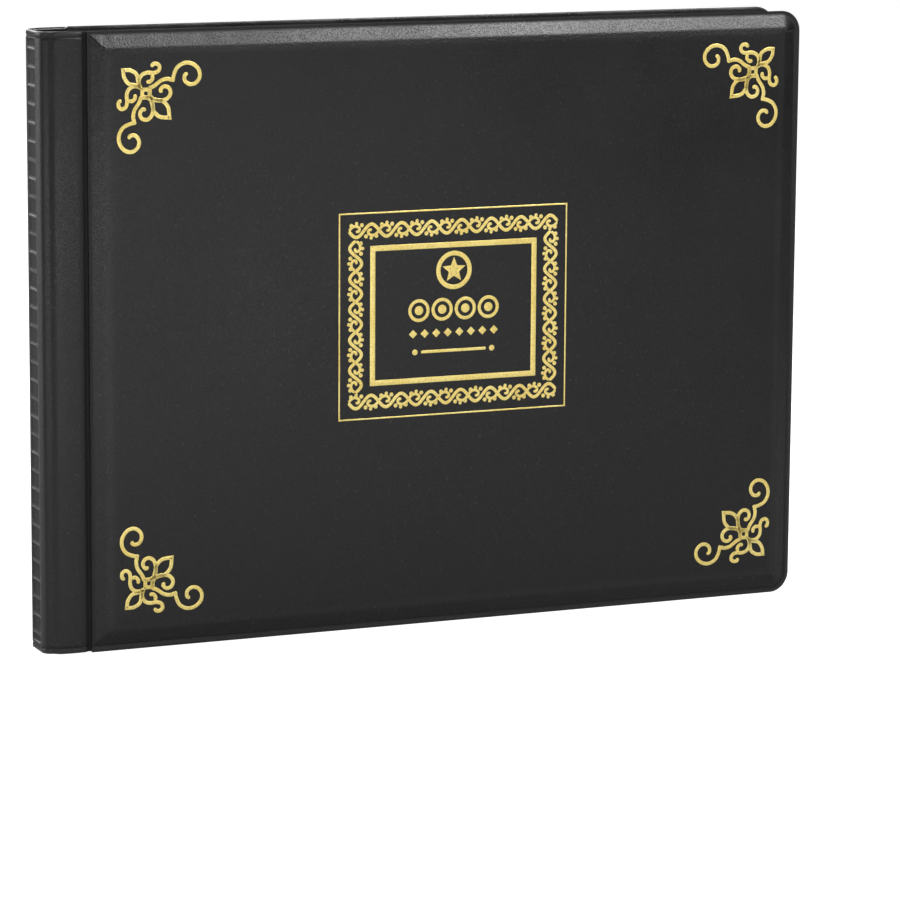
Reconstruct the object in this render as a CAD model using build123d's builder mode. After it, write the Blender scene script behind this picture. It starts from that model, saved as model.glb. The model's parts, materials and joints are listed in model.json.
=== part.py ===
"""Coin album: padded vinyl covers on a hinged spine, with five double-faced pocket leaves.

The album stands closed on its lower edge.  +X runs from the spine to the fore edge, -Y is the
front cover's side and +Z is up.  The origin is the middle of the footprint, at the lower edge.
All sizes are millimetres.
"""

from build123d import *
from math import atan2, degrees, hypot, radians, tan
import os

# ---- pages and pockets ---------------------------------------------------------------------
page_w = 174.0  # welded pocket area of a leaf, along X
page_h = 134.0  # the same, along Z
page_corner_r = 5.0
small_columns, small_rows = 6, 4
large_columns, large_rows = 4, 3
small_row_gap = 3.9  # bare strip between two rows of pockets
large_row_gap = 6.4
side_weld_w = 2.2  # weld beside and between pockets
floor_weld_w = 1.5  # weld under a pocket
small_flap_h = 10.0  # flap that hangs over a pocket's mouth
large_flap_h = 11.5

# ---- coins and their play in a pocket ---------------------------------------------------------
small_coin_play = 1.1  # on every side of the coin
large_coin_play = 2.0
small_coin_t = 1.75
large_coin_t = 2.0
coin_rim_w = 1.1
coin_rim_h = 0.15

# ---- leaves --------------------------------------------------------------------------------
backing_t = 0.3
film_t = 0.2
flap_t = 0.15
leaf_gap = 0.15  # air between two empty leaves
facing_gap = 0.3  # air between the two faces that hold coins
binding_margin = 6.0  # from a leaf's hinge line to its pockets
outer_margin = 1.0
edge_margin = 0.5  # above and below the pockets
leaf_corner_r = 5.0
hinge_clear = 0.35  # from a leaf's hinge line to the vinyl on each side of it
rib_t = 0.6
rib_pitch = 0.9  # between the hinge lines of neighbouring leaves, across the spine
rib_gap = 3.1  # between the hinge lines of the two leaves whose coins face each other
rib_side = 0.6  # from the spine's side lining to the first hinge line
binding_t = 0.4
small_leaves = (1, 2, 3)  # leaves of small pockets, in the front half
large_leaves = (4, 5)  # leaves of large pockets, in the back half

# ---- covers --------------------------------------------------------------------------------
head_margin = 4.5  # cover above the pockets
foot_margin = 6.5  # cover below the pockets
fore_margin = 8.8  # cover past the longest leaf
hinge_strip_w = 11.0  # along X; the strip flares outwards from the narrower spine
groove_w = 0.4  # gap at the fold between strip and panel
mitre_clear = 0.3  # gap at the fold between strip and spine
skin_t = 0.5  # vinyl of spine and strips
card_t = 0.5
lining_t = 0.4
card_margin = 1.5
panel_skin_t = 0.45
panel_liner_t = 0.35
foam_t = 1.4
board_t = 1.3
weld_offset = 0.25  # the panel's weld plane lies this far inside the strip's outer plane
rim_w = 1.4  # flat welded rim around a padded panel
puff_fillet = 1.2
pad_clear = 0.25  # around the foam and the board
cover_corner_r = 5.0
cover_gap = 0.3  # air between a closed cover and its first leaf
open_gap = 1.2  # air between an open cover and the leaf that lies on it
rung_pitch = 4.27  # ladder pattern pressed into the spine
rung_w = 0.7
rung_side = 2.0
rung_depth = 0.12

# ---- gold foil on the front panel ------------------------------------------------------------
foil_t = 0.1
scroll_side_inset = 6.5  # from the panel's fold and fore edge to the corner scrolls
scroll_head_inset = 7.3  # from its upper edge
scroll_foot_inset = 8.6  # and from its lower edge
scroll_size = 20.6
scroll_stroke = 0.9
frame_w = 59.1
frame_h = 49.5
frame_line_w = 0.35
frame_shift = -0.9  # the frame sits a little towards the spine
frame_lift = 3.4  # and above the panel's middle
band_centre = 4.3  # from the outline to the middle of the scroll band
band_r = 1.9
band_stroke = 0.8
band_pitch = 7.8
inner_frame_inset = 8.0
inner_frame_line = 1.3
emblem_r = 4.6
emblem_lift = 10.0
emblem_line_w = 1.1
emblem_star_r = 2.4
coin_mark_r = 2.75  # a row of four small coins below the emblem
coin_mark_line_w = 0.8
coin_mark_dot_r = 1.1
coin_mark_pitch = 6.0
coin_mark_lift = 0.7
lozenge_count = 8  # a row of lozenges below them
lozenge_size = 1.5
lozenge_pitch = 3.0
lozenge_lift = -4.9
rule_w = 17.0  # and a short rule under all
rule_line_w = 0.7
rule_lift = -9.3

# ---- worked out -----------------------------------------------------------------------------
spine_t = skin_t + card_t + lining_t
leaf_half = backing_t / 2 + film_t + flap_t
leaf_pitch = 2 * leaf_half + leaf_gap
panel_out = foam_t + panel_skin_t - weld_offset  # puff outside the fold's outer plane
panel_in = board_t + panel_liner_t + weld_offset  # panel's inner face inside that plane
end_leaf = panel_in + cover_gap + leaf_half
coin_space = backing_t + small_coin_t + large_coin_t + 2 * (film_t + flap_t) + facing_gap
leaf_gaps = len(small_leaves) + len(large_leaves) - 2
block_half = end_leaf + (leaf_gaps * leaf_pitch + coin_space) / 2  # to a panel's fold plane
spine_half = spine_t + rib_side + (leaf_gaps * rib_pitch + rib_gap) / 2
first_offset = block_half - end_leaf - (spine_half - spine_t - rib_side)  # page plane off its hinge line
flare = block_half - spine_half
first_axis = panel_in + open_gap + leaf_half - flare + first_offset  # depth of the first hinge line
deepest_axis = first_axis + (max(len(small_leaves), len(large_leaves)) - 1) * rib_pitch
leaf_w = binding_margin + page_w + outer_margin
cover_w = deepest_axis + leaf_w + fore_margin
cover_h = page_h + head_margin + foot_margin
spine_x = -cover_w / 2
panel_x0 = spine_x + hinge_strip_w + groove_w / 2
panel_x1 = spine_x + cover_w
panel_cx = (panel_x0 + panel_x1) / 2
panel_w = panel_x1 - panel_x0
page_z0 = foot_margin

page_y = {}  # middle plane of each leaf's pockets
hinge_y = {}  # and its hinge line
hinge_x = {}
for side, numbers in ((-1, small_leaves), (1, tuple(reversed(large_leaves)))):
    for index, number in enumerate(numbers):
        page_y[number] = side * (block_half - end_leaf - index * leaf_pitch)
        hinge_y[number] = side * (spine_half - spine_t - rib_side - index * rib_pitch)
        hinge_x[number] = spine_x + first_axis + index * rib_pitch

pieces = []


def keep(part, label):
    """Name a finished piece and put it on the list that is written out."""
    part.label = label
    pieces.append(part)


def front_plane(y):
    """Upright plane at y that looks to the front: its own x is +X and its own y is +Z."""
    return Plane(origin=(0, y, 0), x_dir=(1, 0, 0), z_dir=(0, -1, 0))


# ---- padded panels ---------------------------------------------------------------------------
def draw_panel(outline, inset):
    """Draw the panel drawn in by `inset` all round: round at the fore edge, square at the fold."""
    with Locations((panel_cx, cover_h / 2)):
        Rectangle(panel_w - 2 * inset, cover_h - 2 * inset)
    fillet(outline.vertices().group_by(Axis.X)[-1], radius=max(cover_corner_r - inset, 0.5))


def panel_shell(side, height, wall):
    """Half of a panel's vinyl: a flat welded rim around a shallow tray with a rounded edge.

    Height counts from the weld plane, positive towards the outside of the album.
    """
    plane = front_plane(side * (block_half - weld_offset))
    outward = -side if height > 0 else side
    depth = abs(height)
    with BuildPart() as shell:
        with BuildSketch(plane) as rim:
            draw_panel(rim, 0)
        extrude(amount=outward * wall)
        with BuildSketch(plane) as puff:
            draw_panel(puff, rim_w)
        extrude(amount=outward * depth)
        crown = shell.faces().sort_by(Axis.Y)[0 if outward > 0 else -1]
        fillet(crown.edges(), radius=min(puff_fillet, 0.8 * (depth - wall), 3 * wall))
        with BuildSketch(plane) as cavity:
            draw_panel(cavity, rim_w + wall)
        extrude(amount=outward * (depth - wall), mode=Mode.SUBTRACT)
    return shell.part


def pad(side, near, thickness):
    """A flat pad or board inside a panel, from `near` outside the weld plane."""
    with BuildPart() as block:
        with BuildSketch(front_plane(side * (block_half - weld_offset + near))) as outline:
            draw_panel(outline, rim_w + max(panel_skin_t, panel_liner_t) + pad_clear)
        extrude(amount=-side * thickness)
    return block.part


# ---- gold foil: drawings used both for the foil and for its bed in the vinyl ------------------
foil_plane = front_plane(-(block_half + panel_out))
low_x = panel_x0 + scroll_side_inset
low_z = scroll_foot_inset
frame_cx = panel_cx + frame_shift
frame_cz = cover_h / 2 + frame_lift


# arcs of half a scroll: middle across and up and radius, in grid units, then start and sweep
scroll_units = 22  # grid units in the scroll's size
scroll_arcs = (
    (4.3, 4.3, 2.0, 75, 300),
    (12.2, 5.4, 3.0, 150, -120),
    (18.4, 4.4, 2.7, 160, -290),
    (12.6, 1.9, 1.3, 0, 280),
)


def curl(across, up, radius, start, sweep):
    """One arc of a scroll, drawn as a stroke with round ends."""
    unit = scroll_size / scroll_units
    with BuildLine():
        arc = CenterArc((low_x + across * unit, low_z + up * unit), radius * unit, start, sweep)
    SlotArc(arc, height=scroll_stroke)


with BuildSketch(foil_plane) as half_scroll:
    for scroll_arc in scroll_arcs:
        curl(*scroll_arc)

with BuildSketch(foil_plane) as corner_scrolls:
    add(half_scroll.sketch_local)
    mirror(about=Plane(origin=(low_x, low_z, 0), z_dir=(1, -1, 0)))
    mirror(about=Plane(origin=(panel_cx, 0, 0), z_dir=(1, 0, 0)))
    mirror(about=Plane(origin=(0, (low_z + cover_h - scroll_head_inset) / 2, 0), z_dir=(0, 1, 0)))

with BuildSketch(foil_plane) as border_frame:
    with Locations((frame_cx, frame_cz)):
        for inset, line in ((0, frame_line_w), (inner_frame_inset, inner_frame_line)):
            Rectangle(frame_w - 2 * inset, frame_h - 2 * inset)
            Rectangle(frame_w - 2 * (inset + line), frame_h - 2 * (inset + line), mode=Mode.SUBTRACT)
    band_w = frame_w - 2 * band_centre
    band_h = frame_h - 2 * band_centre
    across = round(band_w / band_pitch)
    upward = round(band_h / band_pitch)
    with Locations((frame_cx, frame_cz)):
        with GridLocations(band_w / across, band_h, across + 1, 2):
            Circle(band_r)
            Circle(band_r - band_stroke, mode=Mode.SUBTRACT)
        with GridLocations(band_w, band_h / upward, 2, upward - 1):
            Circle(band_r)
            Circle(band_r - band_stroke, mode=Mode.SUBTRACT)

with BuildSketch(foil_plane) as emblem:
    with Locations((frame_cx, frame_cz + emblem_lift)):
        Circle(emblem_r)
        Circle(emblem_r - emblem_line_w, mode=Mode.SUBTRACT)
        RegularPolygon(emblem_star_r, 5, rotation=90)
    with Locations((frame_cx, frame_cz + coin_mark_lift)):
        with GridLocations(coin_mark_pitch, 1, 4, 1):
            Circle(coin_mark_r)
            Circle(coin_mark_r - coin_mark_line_w, mode=Mode.SUBTRACT)
            Circle(coin_mark_dot_r)
    with Locations((frame_cx, frame_cz + lozenge_lift)):
        with GridLocations(lozenge_pitch, 1, lozenge_count, 1):
            Rectangle(lozenge_size, lozenge_size, rotation=45)
    with Locations((frame_cx, frame_cz + rule_lift)):
        Rectangle(rule_w, rule_line_w)

plain_skin = panel_shell(-1, panel_out + weld_offset, panel_skin_t)
with BuildPart() as stamped_skin:
    add(plain_skin)
    for drawing in (corner_scrolls, border_frame, emblem):
        extrude(drawing.sketch, amount=-foil_t, mode=Mode.SUBTRACT)
keep(stamped_skin.part, "front_cover_skin")
for drawing, label in (
    (corner_scrolls, "gold_corner_scrolls"),
    (border_frame, "gold_border_frame"),
    (emblem, "gold_emblem"),
):
    with BuildPart() as foil:
        extrude(drawing.sketch, amount=-foil_t)
    keep(foil.part, label)

keep(panel_shell(1, panel_out + weld_offset, panel_skin_t), "back_cover_skin")
for side, name in ((-1, "front"), (1, "back")):
    keep(panel_shell(side, weld_offset - panel_in, panel_liner_t), f"{name}_cover_liner")
    keep(pad(side, 0, foam_t), f"{name}_foam_pad")
    keep(pad(side, -board_t, board_t), f"{name}_board")


# ---- spine and hinge strips: layers with mitred ends -------------------------------------------
strip_turn = degrees(atan2(flare, hinge_strip_w))  # how far a strip flares outwards
strip_len = hypot(flare, hinge_strip_w) - groove_w / 2
mitre_slope = tan(radians((90 - strip_turn) / 2))  # end of a layer drawn in per depth


def spine_layer(near, far):
    """Spine from depth `near` to depth `far` behind its outer plane."""
    reach = spine_half - mitre_clear
    near_reach = reach - near * mitre_slope
    far_reach = reach - far * mitre_slope
    with BuildPart() as layer:
        with BuildSketch(Plane.XY):
            with BuildLine():
                Polyline(
                    (spine_x + near, -near_reach),
                    (spine_x + far, -far_reach),
                    (spine_x + far, far_reach),
                    (spine_x + near, near_reach),
                    close=True,
                )
            make_face()
        extrude(amount=cover_h)
    return layer.part


def strip_plane(side, z):
    """Level plane on a spine corner: its own x runs along the strip and its own y to the outside."""
    along = Vector(hinge_strip_w, side * flare).normalized()
    return Plane(origin=(spine_x, side * spine_half, z), x_dir=along, z_dir=(0, 0, side))


def strip_layer(side, near, far):
    """Hinge strip from depth `near` to depth `far` behind its outer plane."""
    with BuildPart() as layer:
        with BuildSketch(strip_plane(side, cover_h / 2)):
            with BuildLine():
                Polyline(
                    (mitre_clear + near * mitre_slope, -near),
                    (strip_len, -near),
                    (strip_len, -far),
                    (mitre_clear + far * mitre_slope, -far),
                    close=True,
                )
            make_face()
        extrude(amount=cover_h / 2, both=True)
    return layer.part


card_h = cover_h - 2 * card_margin
card_reach = spine_half - mitre_clear - skin_t - card_t - card_margin
card_x = spine_x + skin_t + card_t / 2
with BuildPart() as spine_card:
    with Locations((card_x, 0, cover_h / 2)):
        Box(card_t, 2 * card_reach, card_h)

with BuildPart() as spine_skin:
    add(spine_layer(0, skin_t))
    with BuildSketch(Plane(origin=(spine_x, 0, cover_h / 2), x_dir=(0, -1, 0), z_dir=(-1, 0, 0))):
        with GridLocations(1, rung_pitch, 1, int(cover_h / rung_pitch)):
            Rectangle(2 * (spine_half - mitre_clear - rung_side), rung_pitch - rung_w)
    extrude(amount=-rung_depth, mode=Mode.SUBTRACT)
with BuildPart() as spine_liner:
    add(spine_layer(skin_t, spine_t))
    add(spine_card.part, mode=Mode.SUBTRACT)
keep(spine_skin.part, "spine_skin")
keep(spine_card.part, "spine_stiffener")
keep(spine_liner.part, "spine_liner")

strip_card_start = mitre_clear + skin_t + card_t + card_margin
strip_card_w = strip_len - card_margin - strip_card_start
for side, name in ((-1, "front"), (1, "back")):
    with BuildPart() as card:
        with BuildSketch(strip_plane(side, cover_h / 2)):
            with Locations((strip_card_start + strip_card_w / 2, -skin_t - card_t / 2)):
                Rectangle(strip_card_w, card_t)
        extrude(amount=card_h / 2, both=True)
    with BuildPart() as lining:
        add(strip_layer(side, skin_t, spine_t))
        add(card.part, mode=Mode.SUBTRACT)
    keep(strip_layer(side, 0, skin_t), f"{name}_hinge_skin")
    keep(card.part, f"{name}_hinge_card")
    keep(lining.part, f"{name}_hinge_liner")

leaf_z0 = page_z0 - edge_margin
leaf_h = page_h + 2 * edge_margin
binding_y = max(abs(y) for y in hinge_y.values()) + rib_t / 2
with BuildPart() as binding_ribs:
    with BuildSketch(Plane.XY.offset(leaf_z0)):
        base_x = spine_x + spine_t + binding_t / 2
        with Locations((base_x, 0)):
            Rectangle(binding_t, 2 * binding_y)
        for number, y in hinge_y.items():
            rib_end = hinge_x[number] - hinge_clear
            with Locations(((spine_x + spine_t + rib_end) / 2, y)):
                Rectangle(rib_end - spine_x - spine_t, rib_t)
    extrude(amount=leaf_h)
keep(binding_ribs.part, "binding_ribs")


# ---- leaves: backing, pocket films, flaps, and on the coin faces the welds and the coins --------
class PageLayout:
    """Where the rows and pockets of one kind of page are, counted from the page's lower left."""

    def __init__(self, columns, rows, gap, flap_h):
        self.columns = columns
        self.rows = rows
        self.gap = gap
        self.flap_h = flap_h
        self.pocket_w = (page_w - (columns + 1) * side_weld_w) / columns
        self.row_h = (page_h - (rows - 1) * gap) / rows
        self.row_pitch = self.row_h + gap

    def row_z(self, row):
        """Lower edge of a row."""
        return page_z0 + row * self.row_pitch

    def coin_z(self, row):
        """Middle of the coins in a row."""
        return self.row_z(row) + (floor_weld_w + self.row_h) / 2

    def pocket_x(self, page_x, column):
        """Middle of a pocket."""
        first = page_x + side_weld_w + self.pocket_w / 2
        return first + column * (self.pocket_w + side_weld_w)


small_page = PageLayout(small_columns, small_rows, small_row_gap, small_flap_h)
large_page = PageLayout(large_columns, large_rows, large_row_gap, large_flap_h)
page_cz = page_z0 + page_h / 2
small_coin_d = min(small_page.pocket_w, small_page.row_h - floor_weld_w) - 2 * small_coin_play
large_coin_d = min(large_page.pocket_w, large_page.row_h - floor_weld_w) - 2 * large_coin_play


def draw_rows(layout, page_x):
    """Draw the page's round-cornered outline, parted into rows."""
    middle = page_x + page_w / 2
    with Locations((middle, page_cz)):
        RectangleRounded(page_w, page_h, page_corner_r)
    for row in range(1, layout.rows):
        with Locations((middle, layout.row_z(row) - layout.gap / 2)):
            Rectangle(page_w, layout.gap, mode=Mode.SUBTRACT)


def film_sheet(layout, page_x, y, side):
    """Clear film over every row of pockets, lying outwards from y."""
    with BuildPart() as sheet:
        with BuildSketch(front_plane(y)):
            draw_rows(layout, page_x)
        extrude(amount=-side * film_t)
    return sheet.part


def flap_sheet(layout, page_x, y, side):
    """Flap over the upper part of every row, lying outwards from y."""
    with BuildPart() as sheet:
        with BuildSketch(front_plane(y)):
            draw_rows(layout, page_x)
            bare = layout.row_h - layout.flap_h
            for row in range(layout.rows):
                with Locations((page_x + page_w / 2, layout.row_z(row) + bare / 2)):
                    Rectangle(page_w, bare, mode=Mode.SUBTRACT)
        extrude(amount=-side * flap_t)
    return sheet.part


def weld_combs(layout, page_x, y, side, height):
    """Welded seams under and between filled pockets: one comb for a row, open at the mouths."""
    with BuildPart() as combs:
        with BuildSketch(front_plane(y)):
            draw_rows(layout, page_x)
            for row in range(layout.rows):
                floor = layout.row_z(row) + floor_weld_w
                for column in range(layout.columns):
                    with Locations((layout.pocket_x(page_x, column), floor + layout.row_h / 2)):
                        Rectangle(layout.pocket_w, layout.row_h, mode=Mode.SUBTRACT)
        extrude(amount=-side * height)
    return combs.part


def coin_row(layout, page_x, row, y, side, diameter, thickness):
    """One row of coins lying outwards from y, each with a raised rim on both faces."""
    radius = diameter / 2
    places = [(layout.pocket_x(page_x, c), layout.coin_z(row)) for c in range(layout.columns)]
    with BuildPart() as coins:
        with BuildSketch(front_plane(y)):
            with Locations(*places):
                Circle(radius)
        extrude(amount=-side * thickness)
        for face_y in (y, y + side * (thickness - coin_rim_h)):
            with BuildSketch(front_plane(face_y)):
                with Locations(*places):
                    Circle(radius - coin_rim_w)
            extrude(amount=-side * coin_rim_h, mode=Mode.SUBTRACT)
    return coins.part


def leaf_backing(number):
    """Black sheet of a leaf: a slanting tab from its hinge line, then flat with round corners."""
    axis_x, axis_y, flat_y = hinge_x[number], hinge_y[number], page_y[number]
    slope = (flat_y - axis_y) / binding_margin
    tab_x = axis_x + hinge_clear
    page_x = axis_x + binding_margin
    with BuildPart() as backing:
        with BuildSketch(Plane.XY.offset(leaf_z0)):
            with BuildLine():
                Polyline(
                    (tab_x, axis_y + slope * hinge_clear - backing_t / 2),
                    (page_x, flat_y - backing_t / 2),
                    (axis_x + leaf_w, flat_y - backing_t / 2),
                    (axis_x + leaf_w, flat_y + backing_t / 2),
                    (page_x, flat_y + backing_t / 2),
                    (tab_x, axis_y + slope * hinge_clear + backing_t / 2),
                    close=True,
                )
            make_face()
        extrude(amount=leaf_h)
        fore_edge = backing.edges().filter_by(Axis.Y).group_by(Axis.X)[-1]
        fillet(fore_edge, radius=leaf_corner_r)
    return backing.part


def make_leaf(number, layout, coin_side, coin_name, diameter, thickness):
    """Build one leaf; coin_side is the side of its face that holds coins, or 0 for none."""
    page_x = hinge_x[number] + binding_margin
    keep(leaf_backing(number), f"leaf_{number}_backing")
    for side, face in ((-1, "front"), (1, "back")):
        face_y = page_y[number] + side * backing_t / 2
        film_y = face_y + (side * thickness if side == coin_side else 0)
        flap_y = film_y + side * film_t
        keep(film_sheet(layout, page_x, film_y, side), f"leaf_{number}_{face}_film")
        keep(flap_sheet(layout, page_x, flap_y, side), f"leaf_{number}_{face}_flaps")
    if coin_side:
        face_y = page_y[number] + coin_side * backing_t / 2
        keep(weld_combs(layout, page_x, face_y, coin_side, thickness), f"leaf_{number}_pocket_welds")
        for row in range(layout.rows):
            coins = coin_row(layout, page_x, row, face_y, coin_side, diameter, thickness)
            keep(coins, f"{coin_name}_row_{row + 1}")


for number in small_leaves:
    coin_side = 1 if number == small_leaves[-1] else 0
    make_leaf(number, small_page, coin_side, "small_coins", small_coin_d, small_coin_t)
for number in large_leaves:
    coin_side = -1 if number == large_leaves[0] else 0
    make_leaf(number, large_page, coin_side, "large_coins", large_coin_d, large_coin_t)

# ---- write the pieces ------------------------------------------------------------------------
os.makedirs("parts", exist_ok=True)
for part in pieces:
    export_step(part, f"parts/{part.label}.step")
print(f"cover {cover_w:.2f} x {cover_h:.2f}, {len(pieces)} pieces")
print(f"coins {small_coin_d:.3f} and {large_coin_d:.3f}")
for number, y in hinge_y.items():
    print(f"leaf {number}: hinge line x {hinge_x[number]:.4f}, y {y:.4f}, pockets at y {page_y[number]:.4f}")
print(f"spine corner x {spine_x:.4f}, y {spine_half:.4f}")
print(f"front fold x {spine_x + hinge_strip_w:.4f}, y {-block_half - panel_out:.4f}")
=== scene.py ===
# %% [markdown]
# # A padded coin album
# The album stands closed on its lower edge.  Its covers are two sheets of black vinyl welded
# around foam and board, its spine is one more strip of vinyl, and between the covers hang five
# leaves with clear pockets, some with coins in them.  The CAD model gives every size and every
# hinge, so the first cell loads it as a fixed frame.

import json
import math

import bmesh
import bpy
import numpy as np
from mathutils import Matrix, Vector


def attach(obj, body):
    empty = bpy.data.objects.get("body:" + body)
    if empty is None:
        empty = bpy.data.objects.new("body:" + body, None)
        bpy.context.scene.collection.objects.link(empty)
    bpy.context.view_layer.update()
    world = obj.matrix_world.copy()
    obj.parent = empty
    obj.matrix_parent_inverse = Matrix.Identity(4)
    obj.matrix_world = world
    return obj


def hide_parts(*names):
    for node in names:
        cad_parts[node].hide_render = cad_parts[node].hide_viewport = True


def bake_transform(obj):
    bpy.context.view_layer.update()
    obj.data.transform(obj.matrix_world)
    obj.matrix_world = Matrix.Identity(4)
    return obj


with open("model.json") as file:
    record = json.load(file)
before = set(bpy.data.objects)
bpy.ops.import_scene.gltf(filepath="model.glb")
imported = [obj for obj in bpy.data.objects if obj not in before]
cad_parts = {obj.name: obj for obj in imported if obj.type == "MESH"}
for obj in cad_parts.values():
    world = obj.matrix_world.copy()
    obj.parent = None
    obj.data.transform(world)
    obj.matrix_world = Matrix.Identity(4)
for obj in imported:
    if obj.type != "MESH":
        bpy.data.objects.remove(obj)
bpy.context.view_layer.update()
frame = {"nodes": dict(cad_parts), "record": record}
for plain in bpy.data.materials:
    plain.name = "packed_" + plain.name  # the finishes made below take the slots' own names
MM = 0.001  # the lengths below are millimetres, and a mesh is made in metres

# %% [markdown]
# ## Camera
# A long lens from the left and a little above, so the cover, the spine and the upper edges all
# show.  A camera can be placed by a point that it looks at, two angles and a distance; the
# matrix is then built from its own right, up and backward directions.

# %% Camera
YAW, PITCH, ROLL = (math.radians(a) for a in (23.52, 10.50, 0.40))
LOOK_AT = Vector((7.8, 0, 40.6)) * MM
CAMERA_FAR = 1.031

forward = Vector((math.sin(YAW) * math.cos(PITCH), math.cos(YAW) * math.cos(PITCH), -math.sin(PITCH)))
level = Vector((math.cos(YAW), -math.sin(YAW), 0))
level_up = level.cross(forward)
right = level * math.cos(ROLL) + level_up * math.sin(ROLL)
camera_data = bpy.data.cameras.new("album_camera")
camera_data.lens, camera_data.sensor_width = 170.4, 36
camera = bpy.data.objects.new("album_camera", camera_data)
axes = (right, right.cross(forward), -forward)
standpoint = LOOK_AT - forward * CAMERA_FAR
camera.matrix_world = Matrix.Translation(standpoint) @ Matrix(axes).transposed().to_4x4()
bpy.context.scene.collection.objects.link(camera)
bpy.context.scene.camera = camera
print("camera at", [round(v, 3) for v in camera.matrix_world.translation])

# %% [markdown]
# ## Light and floor
# Black vinyl shows its shape through what it mirrors, so it needs large soft lights rather than
# strong ones.  A softbox in front and to the right catches the sloping upper edge of the padding,
# one overhead separates the two covers, one faces the spine and one the back cover.  Two low,
# narrow strips brighten the front cover's flat and the slope beside the hinge strip.  The room is
# white to look at but gives little light, more from the left than from the right.


# %% Light and floor
def put(tree, kind, inputs=None, **settings):
    """Add a node, give it its settings, and set each input or link it to another node's output."""
    node = tree.nodes.new(kind)
    for key, value in settings.items():
        setattr(node, key, value)
    for key, value in (inputs or {}).items():
        if isinstance(value, bpy.types.NodeSocket):
            tree.links.new(value, node.inputs[key])
        else:
            node.inputs[key].default_value = value
    return node


ALBUM_MIDDLE = Vector((0, 0, 0.07))


def softbox(name, azimuth, elevation, distance, width, height, power):
    """Area light on a sphere round the album's middle, turned to face that middle.

    Azimuth is counted from the front towards the fore edge; lengths are metres, power is watts.
    """
    a, e = math.radians(azimuth), math.radians(elevation)
    way = Vector((math.sin(a) * math.cos(e), -math.cos(a) * math.cos(e), math.sin(e)))
    data = bpy.data.lights.new(name, "AREA")
    data.shape, data.size, data.size_y, data.energy = "RECTANGLE", width, height, power
    lamp = bpy.data.objects.new(name, data)
    facing = way.to_track_quat("Z", "Y").to_matrix().to_4x4()
    lamp.matrix_world = Matrix.Translation(ALBUM_MIDDLE + way * distance) @ facing
    bpy.context.scene.collection.objects.link(lamp)


softbox("slope_softbox", 39, 42, 0.62, 0.36, 0.2, 3.9)
softbox("overhead_softbox", -15, 78, 1.2, 1.2, 0.8, 1.5)
softbox("spine_softbox", -95, 12, 1.0, 0.6, 0.6, 6)
softbox("back_softbox", 200, 32, 1.0, 0.9, 0.6, 10)
softbox("low_left_strip", -30, -3, 0.4, 0.3, 0.06, 0.2)
softbox("low_front_strip", 6, -3, 0.45, 0.3, 0.06, 0.16)


def seen_brightness(tree, shown, lit):
    """Strength `shown` where the camera looks straight at it and `lit` for the light it gives."""
    seen = put(tree, "ShaderNodeLightPath").outputs["Is Camera Ray"]
    inputs = {"Value": seen, "To Min": lit, "To Max": shown}
    return put(tree, "ShaderNodeMapRange", inputs).outputs["Result"]


ROOM_LEFT, ROOM_RIGHT = 0.16, 0.03  # light that the room gives
FLOOR_GREY, FLOOR_SHOWN = 0.45, 0.95
FLOOR_HALF, FLOOR_DROP = 6, 0.0002
world = bpy.data.worlds.new("white_room")
world.use_nodes = True
backdrop = world.node_tree.nodes["Background"]
backdrop.inputs["Color"].default_value = (1, 1, 1, 1)
way = put(world.node_tree, "ShaderNodeTexCoord").outputs["Generated"]
sideways = put(world.node_tree, "ShaderNodeSeparateXYZ", {0: way}).outputs["X"]
walls = {"Value": sideways, "From Min": -1.0, "From Max": 1.0, "To Min": ROOM_LEFT, "To Max": ROOM_RIGHT}
falling = put(world.node_tree, "ShaderNodeMapRange", walls).outputs["Result"]
world.node_tree.links.new(seen_brightness(world.node_tree, 1.0, falling), backdrop.inputs["Strength"])
bpy.context.scene.world = world
bpy.context.scene.view_settings.view_transform = "Standard"

floor_mesh = bpy.data.meshes.new("floor")
corners = [(x * FLOOR_HALF, y * FLOOR_HALF, 0) for x, y in ((-1, -1), (1, -1), (1, 1), (-1, 1))]
floor_mesh.from_pydata(corners, [], [(0, 1, 2, 3)])
floor = bpy.data.objects.new("floor", floor_mesh)
floor.location.z = -FLOOR_DROP
bpy.context.scene.collection.objects.link(floor)
paper = bpy.data.materials.new("white_paper")
paper.use_nodes = True
sheet = paper.node_tree.nodes["Principled BSDF"].inputs
sheet["Base Color"].default_value = (FLOOR_GREY, FLOOR_GREY, FLOOR_GREY, 1)
sheet["Roughness"].default_value = 0.8
sheet["Emission Color"].default_value = (1, 1, 1, 1)
paper.node_tree.links.new(seen_brightness(paper.node_tree, FLOOR_SHOWN, 0.0), sheet["Emission Strength"])
floor_mesh.materials.append(paper)
print("softboxes:", [lamp.name for lamp in bpy.data.lights])

# %% [markdown]
# ## From arrays to meshes
# Every new piece here is worked out with numpy as whole grids of points.  Two kinds of closed
# body cover them all.  A *plate* lies between two grids of the same shape, like a sheet with an
# outer and an inner side.  A *sweep* carries a small closed profile along a path.  Both return
# points and four-cornered faces, so several can be joined into one mesh.


# %% Plates and sweeps
def lattice(rows, cols):
    """Four-cornered faces of a grid whose points are numbered row by row."""
    start = (np.arange(rows - 1)[:, None] * cols + np.arange(cols - 1)).ravel()
    return np.stack([start, start + 1, start + cols + 1, start + cols], axis=1)


def outwards(points, faces):
    """Turn every face round if the body's signed volume, a sum of tetrahedra, is negative."""
    a, b, c, d = (points[faces[:, k]] for k in range(4))
    volume = np.einsum("ij,ij->", a, np.cross(b, c)) + np.einsum("ij,ij->", a, np.cross(c, d))
    return points, faces if volume > 0 else faces[:, ::-1]


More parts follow.
